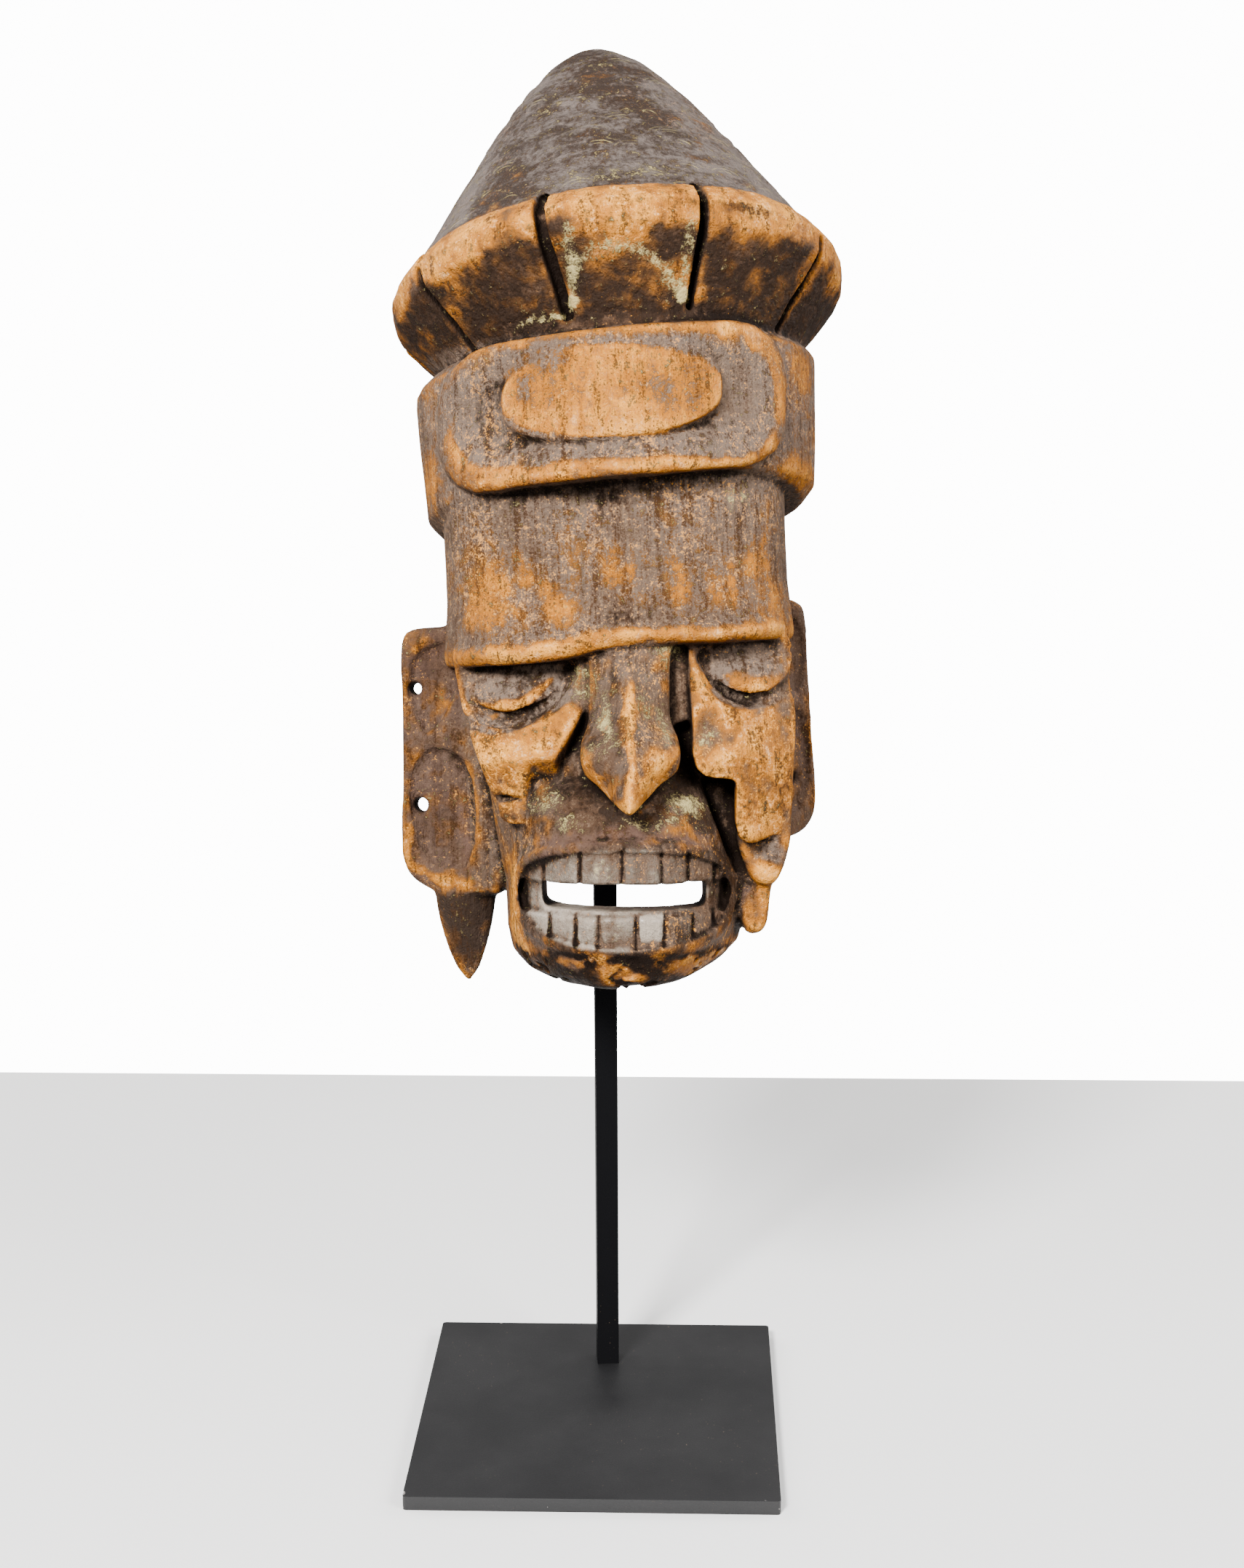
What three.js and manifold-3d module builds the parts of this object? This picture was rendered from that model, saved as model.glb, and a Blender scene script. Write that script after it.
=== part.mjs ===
// A carved wooden helmet mask with a conical hat, on a square steel bar and foot plate.
// Millimetres, +Z up. The origin is the centre of the foot plate's underside, and the face looks along -Y.
// The mask is carved in its own frame (x to the viewer's right, y to the back, z up, with z = 0 under the chin)
// and then leaned back on the bar.
import * as THREE from "three";
import { mergeVertices } from "three/addons/utils/BufferGeometryUtils.js";
import Module from "manifold-3d";

const wasm = await Module();
wasm.setup();

// Driving dimensions: the stand
const PLATE = { side: 152.4, thick: 6, corner: 1.5 };
const BAR = { side: 9.5, x: 2.3, y: 42, turn: 6 };
const SOCKET = { depth: 9, gap: 0.4 };

// Driving dimensions: how the mask sits on the bar, with its chin this far above the floor
const POSE = { x: 12, y: 5, z: 206, lean: 10, roll: 2, turn: 2 };

// Driving dimensions: the hat, whose brim ridge is a circle tilted back from the head
const HAT = { x: 7.4, y: 5, z: 280, tilt: 14, roll: 3.2, ridge: 87.5, height: 104, dome: 0.61, flank: 0.2, sides: 36 };
const BRIM = { bulge: 5.2, bulgeDrop: 6, faceDrop: 30, faceIn: 10.5, neck: 68, neckDrop: 41, step: 1.4 };
const SLOT = { count: 9, width: 3.2, wide: 5, deep: 7.5, turn: 2.2 };

// Driving dimensions: the headband and the raised panel on its front
const BAND = { x: 5.5, y: 5, z: 217, tilt: 6, skew: 0.058, radius: 82, taper: 2, low: -30, high: 28, round: 6, lip: 5, arch: 0.19 };
const PANEL = { x: 3.6, z: 222.5, width: 138, height: 57, corner: 22, proud: 4.2, border: 13.5, moat: 2.4, edge: 3 };
const OVAL = { x: 3.4, z: 226.5, width: 85, height: 35, power: 2.7, proud: 0.3 };

// Driving dimensions: forehead, brow and face, as half widths and depths in front of the ears
const FOREHEAD = { x: 2.7, top: 205, half: 69.7, front: 65, back: 30, power: 3, flare: 4.5, bead: 0.16 };
const BROW = { z: 125.8, rise: 4.6, from: -22, to: -4, slope: 0.012 };
const FACE = { x: 5.5, top: 140, low: 82, half: 67, halfLow: 60, base: 48, back: 24, power: 3.4 };
const CHEEK = { front: 61.5, bow: 0.003, swell: 6, fall: 8, edge: 86, rise: 28, tuck: 5, under: 10, back: -40 };
const LEFT_EYE = { x: -40, z: 124.5, half: 22, drop: 17.3 };
const RIGHT_EYE = { x: 53.5, z: 126, half: 17.5, drop: 16.5 };
const LID = { low: 1.4, high: 8, bowl: 1.36, deep: 10.5 };
const JAW = { x: -0.3, xTop: 5.5, halfTop: 60.5, halfLow: 44.5, swell: 0.9, front: 48, low: 24, back: 22, power: 3.4 };

// Driving dimensions: nose, muzzle, mouth and teeth
const NOSE = { x: 5.4, root: 131, wingZ: 88, tip: 67, half: 16, wingHalf: 18.3, rootOut: 66, wingOut: 88, tipOut: 94 };
const MUZZLE = { x: 1.2, half: 48.4, front: 84, root: 97, top: 81, low: -1.8, back: 10 };
const MOUTH = { x: 0.7, z: 34.2, half: 41.6, tall: 18.6, power: 2.7, recess: 4.2, lip: 4, lipOut: 1.5, slope: -0.038 };
const GAP = { x: 0.7, half: 31.5, low: 30, high: 40, sill: 2.6, recess: 2.4 };
const TEETH = { seam: 1.6, inset: 0.9, reach: 40.5 };
const UPPER_SEAMS = [-30.7, -16.4, -0.4, 14.9, 25.2, 35.8];
const LOWER_SEAMS = [-28, -17.8, -9.2, 5.3, 16, 27.2, 35.4];

// Driving dimensions: ears with their cord holes, and the tusk
const EAR = { thick: 13, y: 1, bevel: 2.2, hole: 3.1, recess: 3.2, leftTurn: -12, rightTurn: 52, rightTall: 0.9 };
const TUSK = { x: -65.5, y: 4, top: 42, tip: -7.5, half: 13.6, thick: 6.5 };

// Driving dimensions: the hollow behind the face and up inside the headband
const HOLLOW = { x: 6, y: 5, radius: 57, roof: 243, spring: 216, open: 172 };

const rad = THREE.MathUtils.degToRad;
const lerp = THREE.MathUtils.lerp;
const { clamp, smoothstep } = THREE.MathUtils;
const steps = (count) => Array.from({ length: count + 1 }, (_, i) => i / count);

// A closed mesh as a solid, with its faces turned to point out.
function solid(geometry) {
  const bare = geometry.index ? geometry.toNonIndexed() : geometry.clone();
  bare.deleteAttribute("normal");
  bare.deleteAttribute("uv");
  const merged = mergeVertices(bare, 1e-4);
  const vertProperties = merged.attributes.position.array;
  const index = merged.index.array;
  const triangles = [];
  for (let i = 0; i < index.length; i += 3) {
    const [a, b, c] = index.slice(i, i + 3);
    if (a !== b && b !== c && c !== a) triangles.push(a, b, c);
  }
  const made = (order) => new wasm.Manifold(new wasm.Mesh({ numProp: 3, vertProperties, triVerts: order }));
  const body = made(new Uint32Array(triangles));
  if (body.volume() > 0) return body;
  return made(new Uint32Array(triangles.reverse()));
}

// A solid back as a three.js geometry with flat faces.
function geometryOf(body) {
  const mesh = body.getMesh();
  const geometry = new THREE.BufferGeometry();
  geometry.setAttribute("position", new THREE.BufferAttribute(new Float32Array(mesh.vertProperties), 3));
  geometry.setIndex(new THREE.BufferAttribute(new Uint32Array(mesh.triVerts), 1));
  const flat = geometry.toNonIndexed();
  flat.computeVertexNormals();
  return flat;
}

const join = (...bodies) => bodies.flat().reduce((sum, body) => sum.add(body));

// A closed skin over rings of points, which run counter-clockwise seen from above, from the lowest ring up.
function loft(rings) {
  const count = rings[0].length;
  const points = rings.flat();
  const index = [];
  const at = (i, j) => i * count + (j % count);
  for (let i = 0; i + 1 < rings.length; i++) {
    for (let j = 0; j < count; j++) {
      index.push(at(i, j), at(i, j + 1), at(i + 1, j + 1), at(i, j), at(i + 1, j + 1), at(i + 1, j));
    }
  }
  const middle = (ring) => ring.reduce((sum, p) => sum.add(p), new THREE.Vector3()).divideScalar(count);
  const low = points.push(middle(rings[0])) - 1;
  const high = points.push(middle(rings.at(-1))) - 1;
  for (let j = 0; j < count; j++) {
    index.push(low, at(0, j + 1), at(0, j));
    index.push(high, at(rings.length - 1, j), at(rings.length - 1, j + 1));
  }
  const geometry = new THREE.BufferGeometry().setFromPoints(points);
  geometry.setIndex(index);
  return solid(geometry);
}

const bow = (value, power) => Math.sign(value) * Math.abs(value) ** (2 / power);

// A level section of the head: a bowed front from side to side, and straight walls to a flat back.
function section({ x, half, front, back, power, z, count = 24 }) {
  const height = typeof z === "function" ? z : () => z;
  const ring = [new THREE.Vector3(x + half, back, height(x + half)), new THREE.Vector3(x - half, back, height(x - half))];
  for (const t of steps(count)) {
    const angle = Math.PI * (1 + t);
    const px = x + half * bow(Math.cos(angle), power);
    ring.push(new THREE.Vector3(px, front * bow(Math.sin(angle), power), height(px)));
  }
  return ring;
}

// A round solid from (radius, height) pairs, turned about a vertical axis.
function turned(profile, sides) {
  const points = profile.map(([radius, height]) => new THREE.Vector2(radius, height));
  const geometry = new THREE.LatheGeometry(points, sides);
  geometry.rotateX(Math.PI / 2);
  return solid(geometry);
}

function ellipsoid(rx, ry, rz, x, y, z, round = 18) {
  const geometry = new THREE.SphereGeometry(1, round, Math.round(round * 0.6));
  geometry.rotateX(Math.PI / 2).scale(rx, ry, rz).translate(x, y, z);
  return solid(geometry);
}

// An outline drawn in the front view (x, z), pushed from the front depth to the back depth.
function prism(shape, front, back, bevel = 0) {
  const geometry = new THREE.ExtrudeGeometry(shape, {
    depth: back - front - 2 * bevel,
    bevelEnabled: bevel > 0,
    bevelSize: bevel,
    bevelOffset: -bevel,
    bevelThickness: bevel,
    bevelSegments: 1,
    curveSegments: 8,
  });
  geometry.rotateX(Math.PI / 2).translate(0, back - bevel, 0);
  return solid(geometry);
}

const outline = (pairs) => new THREE.Shape(pairs.map(([x, z]) => new THREE.Vector2(x, z)));

// A superellipse in the front view: 2 is an ellipse, and higher powers square its corners.
function superellipse(x, z, half, tall, power, count = 40) {
  const pairs = steps(count).slice(0, -1).map((t) => {
    const angle = 2 * Math.PI * t;
    return [x + half * bow(Math.cos(angle), power), z + tall * bow(Math.sin(angle), power)];
  });
  return outline(pairs);
}

function roundedRectangle(x, z, width, height, corner) {
  const shape = new THREE.Shape();
  const [w, h] = [width / 2, height / 2];
  shape.absarc(x + w - corner, z + h - corner, corner, 0, Math.PI / 2);
  shape.absarc(x - w + corner, z + h - corner, corner, Math.PI / 2, Math.PI);
  shape.absarc(x - w + corner, z - h + corner, corner, Math.PI, 1.5 * Math.PI);
  shape.absarc(x + w - corner, z - h + corner, corner, 1.5 * Math.PI, 2 * Math.PI);
  return shape;
}

// A smooth closed outline through a few corner points.
function softOutline(pairs, count = 22) {
  const points = pairs.map(([x, z]) => new THREE.Vector3(x, z, 0));
  const curve = new THREE.CatmullRomCurve3(points, true, "centripetal");
  return outline(curve.getPoints(count).slice(0, -1).map((p) => [p.x, p.y]));
}

// A carved patch cut to an outline: its front lies at the depth given for each (x, z), on a flat back.
function relief(shape, depth, back, cell) {
  const points = shape.getPoints(8);
  const reach = (axis) => {
    const values = points.map((p) => p[axis]);
    return [Math.min(...values) - 1, Math.max(...values) + 1];
  };
  const [left, right] = reach("x");
  const [low, high] = reach("y");
  const across = steps(Math.ceil((right - left) / cell)).map((t) => lerp(left, right, t));
  const rings = steps(Math.ceil((high - low) / cell)).map((t) => {
    const z = lerp(low, high, t);
    const front = across.map((x) => new THREE.Vector3(x, -depth(x, z), z));
    return [...front, new THREE.Vector3(right, back, z), new THREE.Vector3(left, back, z)];
  });
  return loft(rings).intersect(prism(shape, -150, back));
}

// Tips a piece back about the left-right axis and sets it on its centre.
const tipBack = (body, { x, y, z, tilt, roll }) => body.rotate([-tilt, -roll, 0]).translate([x, y, z]);

// The hat: a rounded cone over a bulging brim, which nine slots divide into segments.
function hat() {
  const cone = steps(8).map((t) => {
    const left = (1 - t) ** 1.5;
    const radius = (HAT.ridge - BRIM.step) * left ** (HAT.dome + HAT.flank * left);
    return [radius, HAT.height * (1 - left) + BRIM.step * (1 - t)];
  });
  const face = [
    [BRIM.neck, -BRIM.neckDrop],
    [HAT.ridge - BRIM.faceIn, -BRIM.faceDrop],
    [HAT.ridge + BRIM.bulge * 0.7, -BRIM.bulgeDrop * 2.4],
    [HAT.ridge + BRIM.bulge, -BRIM.bulgeDrop],
    [HAT.ridge + BRIM.bulge * 0.5, -1.6],
    [HAT.ridge, BRIM.step * 1.4],
  ];
  const neck = [[0, -BRIM.neckDrop - 12], [BRIM.neck, -BRIM.neckDrop - 12]];
  const whole = turned([...neck, ...face, ...cone], HAT.sides);
  const floor = face.map(([radius, height]) => [radius - SLOT.deep, height + 0.5]);
  const cutShape = outline([...floor, [HAT.ridge - SLOT.deep, 4], [130, 4], [130, -BRIM.neckDrop]]);
  const slots = steps(SLOT.count).slice(0, -1).map((t, i) => {
    const width = i === SLOT.count - 1 ? SLOT.wide : SLOT.width;
    return prism(cutShape, -width / 2, width / 2).rotate([0, 0, -90 + 360 * t + 180 / SLOT.count + SLOT.turn]);
  });
  return tipBack(whole.subtract(join(slots)), HAT);
}

// The depth of the headband's tilted round at a radius.
const bandDepth = (x, z, radius) =>
  Math.sqrt(Math.max(0, radius ** 2 - (x - BAND.x) ** 2)) - BAND.y - (z - BAND.z) * Math.tan(rad(BAND.tilt));

// The headband, its lower edge arched up in front, with its panel: a raised plate, a moat carved into it, and an oval island left standing.
function headband() {
  const profile = [
    [0, BAND.low - BAND.lip],
    [BAND.radius - BAND.taper - BAND.round, BAND.low - BAND.lip],
    [BAND.radius - BAND.taper, BAND.low + 2],
    [BAND.radius, 0],
    [BAND.radius + BAND.taper * 0.4, BAND.high - BAND.round],
    [BAND.radius - BAND.round, BAND.high],
    [0, BAND.high],
  ];
  const ring = turned(profile, HAT.sides)
    .rotate([-BAND.tilt, 0, 0])
    .translate([BAND.x, BAND.y, BAND.z])
    .trimByPlane([0, BAND.arch, 1], (BAND.z + BAND.low - BAND.lip + 0.5) / Math.hypot(1, BAND.arch));
  const top = BAND.radius + PANEL.proud;
  const levels = [[0, -30], [0, -2.4], [1, -0.8], [PANEL.edge, 0], [7, -0.4], [PANEL.border, -PANEL.moat]];
  const plate = levels.map(([inset, rise]) => {
    const size = [PANEL.width - 2 * inset, PANEL.height - 2 * inset, PANEL.corner - 0.7 * inset];
    const points = roundedRectangle(PANEL.x, PANEL.z, ...size).getSpacedPoints(40).slice(0, -1);
    return points.map((p) => new THREE.Vector3(p.x, -bandDepth(p.x, p.y, top + rise), p.y));
  });
  const oval = superellipse(OVAL.x, OVAL.z, OVAL.width / 2, OVAL.height / 2, OVAL.power);
  const island = relief(oval, (x, z) => bandDepth(x, z, top + OVAL.proud), -40, 7);
  const skew = new THREE.Matrix4().makeTranslation(0, 0, -BAND.skew * BAND.x);
  skew.multiply(new THREE.Matrix4().makeShear(0, BAND.skew, 0, 0, 0, 0));
  return join(ring, loft(plate), island).transform([...skew.elements]);
}

// The forehead: a bowed wall that swells below into a beaded brow edge, stepped up over the nose.
function forehead() {
  const browEdge = (x) => BROW.z + BROW.rise * smoothstep(x, BROW.from, BROW.to) + BROW.slope * (x - FOREHEAD.x);
  const rings = [0, 0.02, 0.06, FOREHEAD.bead, 0.32, 1].map((share, i) => {
    const swell = FOREHEAD.flare * (1 - smoothstep(share, 0.05, 0.3)) - [2.6, 0.8, 0, 0, 0, 0][i];
    return section({
      ...FOREHEAD,
      half: FOREHEAD.half + swell * 0.45,
      front: FOREHEAD.front + swell,
      z: (x) => lerp(browEdge(x), FOREHEAD.top, share),
    });
  });
  return loft(rings);
}

// The set-back ground of the face, from under the brow to the cheeks' lower edge.
function faceGround() {
  const rings = [0, 1].map((share) =>
    section({
      ...FACE,
      half: lerp(FACE.halfLow, FACE.half, share),
      front: FACE.base,
      z: lerp(FACE.low, FACE.top, share),
      count: 16,
    }),
  );
  return loft(rings);
}

const facePlan = (x) => CHEEK.front - CHEEK.bow * (x - FACE.x) ** 2;

// The depth of a cheek: bowed across the face and swelling to its lower edge.
const cheekDepth = (x, z) =>
  facePlan(x) + CHEEK.swell - CHEEK.fall * clamp((z - CHEEK.edge) / CHEEK.rise, 0, 1);

// The bowl that sinks the cheek in a crescent round an eyelid.
function eyeBowl(eye) {
  const slope = 2 * CHEEK.bow * (eye.x - FACE.x);
  const bowl = ellipsoid(eye.half * LID.bowl, LID.deep, eye.drop * LID.bowl, 0, 0, 0, 22);
  return bowl.rotate([0, 0, (Math.atan(slope) * 180) / Math.PI]).translate([eye.x, -facePlan(eye.x) - 0.5, eye.z]);
}

// The left cheek ends at the nose in a slanting facet, and tucks back below into a hanging tab with a notch.
function leftCheek() {
  const shape = outline([
    [-10.5, 132],
    [-10.5, 103],
    [-17.6, 86.5],
    [-19, 82],
    [-26, 80],
    [-34.6, 79.4],
    [-35.5, 66],
    [-38.5, 62.8],
    [-43.5, 62.9],
    [-46.6, 65.5],
    [-47.4, 72],
    [-49.4, 75],
    [-52, 82],
    [-56, 95],
    [-60, 110],
    [-63, 128],
    [-63, 132],
  ]);
  const tucked = (x, z) =>
    lerp(CHEEK.tuck, CHEEK.under, smoothstep(x, -37, -32)) * (1 - smoothstep(z, CHEEK.edge - 6, CHEEK.edge + 3));
  const cheek = relief(shape, (x, z) => cheekDepth(x, z) - tucked(x, z), CHEEK.back, 4.6);
  const facet = [-12, 32].map((along) => {
    const slide = new THREE.Vector3(-0.464, 0, -0.886).multiplyScalar(along);
    const corners = [[-16.8, -68, 105.4], [-10.2, -50, 102], [-4, -80, 98.8], [-17.4, -80, 105.7]];
    return corners.map((corner) => new THREE.Vector3(...corner).add(slide));
  });
  const notch = prism(outline([[-50, 75], [-39, 73.6], [-35.4, 73.2], [-38, 71.4], [-50, 72]]), -120, -51);
  return cheek.subtract(loft(facet)).subtract(notch).subtract(eyeBowl(LEFT_EYE));
}

// The right cheek turns a corner down its middle, and its outer side runs on down into a rounded strip.
function rightCheek() {
  const shape = outline([
    [29, 132],
    [29.4, 104],
    [28.8, 88],
    [30.4, 82],
    [34, 78.8],
    [45.6, 77],
    [45.2, 60],
    [47, 55],
    [50.5, 52.7],
    [57, 53],
    [62, 55],
    [67.4, 56.5],
    [68.5, 70],
    [70, 88],
    [71.4, 102],
    [73, 126],
    [73, 132],
  ]);
  const corner = (x, z) => 0.4 * Math.max(0, x - (46 + 0.18 * (z - 78)));
  return relief(shape, (x, z) => cheekDepth(x, z) - corner(x, z), CHEEK.back, 7).subtract(eyeBowl(RIGHT_EYE));
}

// A lowered eyelid: a half-moon that leans in under the brow.
function eyeLid(eye) {
  const lean = (z) => lerp(LID.low, LID.high, clamp((z - eye.z + eye.drop) / eye.drop, 0, 1.2));
  return relief(
    superellipse(eye.x, eye.z, eye.half, eye.drop, 2, 30),
    (x, z) => facePlan(x) - lean(z),
    CHEEK.back,
    6,
  );
}

// What hangs beside the muzzle on the right: a knob, and the blunt stump under it.
function rightDrops() {
  const knob = prism(softOutline([[46.5, 58], [66.5, 60], [65.5, 44], [60, 34.5], [53.5, 36], [47.4, 45]], 16), -48, -20, 2);
  const stump = prism(softOutline([[46.5, 44], [60, 46], [58.6, 28], [55.5, 16], [49, 14.8], [45.4, 26]], 16), -43.5, -16, 2);
  return knob.add(stump);
}

// The jaw block, set back under the cheeks and narrowing to the chin.
function jaw() {
  const rings = [0, 0.35, 0.7, 1].map((share) =>
    section({
      ...JAW,
      x: lerp(JAW.x, JAW.xTop, share ** JAW.swell),
      half: lerp(JAW.halfLow, JAW.halfTop, share ** JAW.swell),
      front: JAW.front,
      z: lerp(JAW.low, FACE.low + 4, share),
      count: 16,
    }),
  );
  return loft(rings);
}

// The muzzle, or the same form grown or shrunk by a step: [height, middle, half width, depth, squareness].
function muzzle(grow = 0) {
  const levels = [
    [MUZZLE.low, -1, 0.5, 0.82, 2.2],
    [0, -1.2, 0.68, 0.89, 2.2],
    [4, -1.2, 0.845, 0.935, 2.2],
    [10, -0.8, 0.96, 0.972, 2.2],
    [20, -0.4, 1.005, 0.994, 2.2],
    [36, 0, 1.01, 1, 2.2],
    [52, -0.3, 0.99, 0.965, 2.35],
    [65, -2, 0.96, 0.865, 2.7],
    [MUZZLE.top, -4, 0.88, 0.7, 3.2],
    [MUZZLE.root, -4, 0.8, 0.635, 3.2],
  ];
  const rings = levels.map(([z, shift, wide, deep, power]) =>
    section({
      ...MUZZLE,
      x: MUZZLE.x + shift,
      half: MUZZLE.half * wide + grow,
      front: MUZZLE.front * deep + grow,
      power,
      z,
      count: 18,
    }),
  );
  return loft(rings);
}

// The mouth's middle line, which drops a little to the right, and half its height at a place along it.
const mouthLine = (x, z) => z + MOUTH.slope * (x - MOUTH.x);
const mouthTall = (x) => {
  const share = Math.min(1, Math.abs(x - MOUTH.x) / MOUTH.half);
  return MOUTH.tall * (1 - share ** MOUTH.power) ** (1 / MOUTH.power);
};

function mouthOutline(grow, count) {
  const shape = superellipse(MOUTH.x, MOUTH.z, MOUTH.half + grow, MOUTH.tall + grow, MOUTH.power, count);
  return outline(shape.getPoints().map((p) => [p.x, mouthLine(p.x, p.y)]).slice(0, -1));
}

function gapOutline(half, low, high, corner) {
  const shape = roundedRectangle(GAP.x, (low + high) / 2, 2 * half, high - low, corner);
  return outline(shape.getPoints(3).map((p) => [p.x, mouthLine(p.x, p.y)]).slice(0, -1));
}

// One row of teeth in the front view, parted by its seams, each tooth reaching from the gap to the mouth's outline.
function toothRow(seams, gapEdge, side) {
  const ends = [MOUTH.x - TEETH.reach, ...seams, MOUTH.x + TEETH.reach];
  return ends.slice(1).map((end, i) => {
    const left = ends[i] + TEETH.seam / 2;
    const right = end - TEETH.seam / 2;
    const edge = (x) => mouthLine(x, gapEdge);
    const reach = (x) => mouthLine(x, MOUTH.z + side * (mouthTall(x) - 1.2));
    return prism(outline([[left, edge(left)], [right, edge(right)], [right, reach(right)], [left, reach(left)]]), -120, -40);
  });
}

// The muzzle with its lips, the carved mouth, and two rows of square teeth round the smooth lining of an open gap.
function mouth(body) {
  const rows = [
    ...toothRow(UPPER_SEAMS, GAP.high, 1),
    ...toothRow(LOWER_SEAMS, GAP.low - GAP.sill, -1),
  ];
  const teeth = join(rows).intersect(muzzle(-TEETH.inset));
  const carved = prism(mouthOutline(0, 26), -120, -30).subtract(muzzle(-MOUTH.recess));
  const lining = prism(gapOutline(MOUTH.half + 1, GAP.low - GAP.sill - 0.4, GAP.high + 0.4, 4), -120, -40);
  return body
    .add(muzzle(MOUTH.lipOut).intersect(prism(mouthOutline(MOUTH.lip, 26), -120, -40)))
    .subtract(carved)
    .add(teeth)
    .add(lining.intersect(muzzle(-GAP.recess)))
    .subtract(prism(gapOutline(GAP.half, GAP.low, GAP.high, 2.5), -120, 20));
}

// The black slot that parts the muzzle from the pieces hanging on its right.
const sideSlot = () =>
  prism(outline([[32.2, 78], [46, 78], [45.3, 60], [48.5, 46], [46.5, 42.5], [42, 47], [37, 61.6]]), -120, -40);

// The floor of the groove between the nose and the right cheek.
const noseGroove = () => prism(outline([[19, 132], [31, 132], [31, 101], [21, 99]]), -54, -40);

// The nose: a long wedge with a sharp ridge, widening to wings and ending in an arrow point.
function nose() {
  const ring = (z, x, half, ridge, shoulder) => [
    new THREE.Vector3(x + half, -38, z),
    new THREE.Vector3(x - half, -38, z),
    new THREE.Vector3(x - half, -shoulder, z),
    new THREE.Vector3(x - half * 0.5, -lerp(shoulder, ridge, 0.62), z),
    new THREE.Vector3(x, -ridge, z),
    new THREE.Vector3(x + half * 0.5, -lerp(shoulder, ridge, 0.62), z),
    new THREE.Vector3(x + half, -shoulder, z),
  ];
  const { x, half, wingHalf, root, rootOut, wingZ, wingOut, tip, tipOut } = NOSE;
  return loft([
    ring(tip, x - 1.7, 1.2, tipOut - 0.7, tipOut - 4.5),
    ring(tip + 1.5, x - 1.6, 2.6, tipOut, tipOut - 6),
    ring(tip + 7, x - 1.2, wingHalf * 0.47, tipOut - 0.5, tipOut - 15),
    ring(wingZ - 6, x - 0.4, wingHalf * 0.94, lerp(wingOut, tipOut, 0.5), wingOut - 15),
    ring(wingZ, x, wingHalf * 1.02, wingOut + 0.5, wingOut - 15.5),
    ring(wingZ + 7, x, wingHalf * 0.97, wingOut - 3, wingOut - 18.5),
    ring(103, x, half * 0.97, lerp(rootOut, wingOut, 0.64), rootOut - 3),
    ring(119, x + 0.6, half * 0.97, lerp(rootOut, wingOut, 0.25), rootOut - 4),
    ring(root, x + 1.1, half * 1.03, rootOut, rootOut - 3.5),
  ]);
}

// The dark hollows beside the nose, under each cheek's inner corner.
function nostrilHollows() {
  return join(
    prism(outline([[-11.4, 101], [-19, 85.5], [-20, 79], [-6, 79], [-9.5, 97]]), -120, -41),
    prism(outline([[24.2, 100], [29.2, 100], [28.8, 88], [30.4, 82], [33, 78], [24, 77]]), -120, -41),
  );
}

// One ear: a slab with two carved hollows and its cord holes, hung beside the face.
function ear(holes, holeX) {
  const slab = softOutline(
    [[-5, 142], [18, 142.4], [34, 141.4], [36.8, 136], [37, 110], [39, 74], [39.4, 43], [31, 34], [14, 31], [-5, 33]],
    24,
  );
  const upper = softOutline([[10, 134], [29, 132], [33, 116], [27, 98], [14, 112]], 12);
  const lower = softOutline([[12, 88], [25, 92], [34, 82], [34, 60], [26, 44], [12, 42], [7, 66]], 14);
  const half = EAR.thick / 2;
  const floor = -half + EAR.recess;
  const bores = holes.map((z) => {
    const bore = new THREE.CylinderGeometry(EAR.hole, EAR.hole, 4 * EAR.thick, 10);
    return solid(bore.translate(holeX, 0, z));
  });
  return prism(slab, -half, half, EAR.bevel)
    .subtract(prism(upper, -half - 5, floor))
    .subtract(prism(lower, -half - 5, floor))
    .subtract(join(bores));
}

function ears() {
  const left = ear([117, 68.5], 31.5).mirror([1, 0, 0]).rotate([0, 0, EAR.leftTurn]).translate([-51.5, EAR.y, 0]);
  const right = ear([59], 27).scale([1, 1, EAR.rightTall]).rotate([0, 0, EAR.rightTurn]);
  return left.add(right.translate([56, EAR.y - 4, 20]));
}

// The tusk that hangs under the left ear: a flattened ogive, point down.
function tusk() {
  const length = TUSK.top - TUSK.tip;
  const profile = steps(7).map((t) => [t === 0 ? 0 : TUSK.half * Math.sin((Math.PI / 2) * t) ** 0.66, length * t]);
  const round = new THREE.LatheGeometry([...profile, [0, length]].map(([r, h]) => new THREE.Vector2(r, h)), 18);
  round.rotateX(Math.PI / 2).scale(1, TUSK.thick / TUSK.half, 1).translate(TUSK.x, TUSK.y, TUSK.tip);
  return solid(round);
}

// The hollow: open below and behind the face, and domed inside the headband.
function hollow() {
  const levels = [
    [-30, 34, 60],
    [20, 34, 64],
    [54, 34, 62],
    [70, 31, 42],
    [92, 33, 33],
    [120, 44, 33],
    [142, 54, 44],
    [HOLLOW.open, 56, 50],
  ];
  const lower = loft(
    levels.map(([z, half, front]) => section({ x: 2, half, front, back: 130, power: 2.3, z, count: 14 })),
  );
  const dome = [
    [0, HOLLOW.open - 25],
    [HOLLOW.radius - 1, HOLLOW.open - 25],
    [HOLLOW.radius, HOLLOW.spring],
    [HOLLOW.radius * 0.9, lerp(HOLLOW.spring, HOLLOW.roof, 0.6)],
    [HOLLOW.radius * 0.6, lerp(HOLLOW.spring, HOLLOW.roof, 0.93)],
    [0, HOLLOW.roof],
  ];
  return lower.add(turned(dome, 26).translate([HOLLOW.x, HOLLOW.y, 0]));
}

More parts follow.
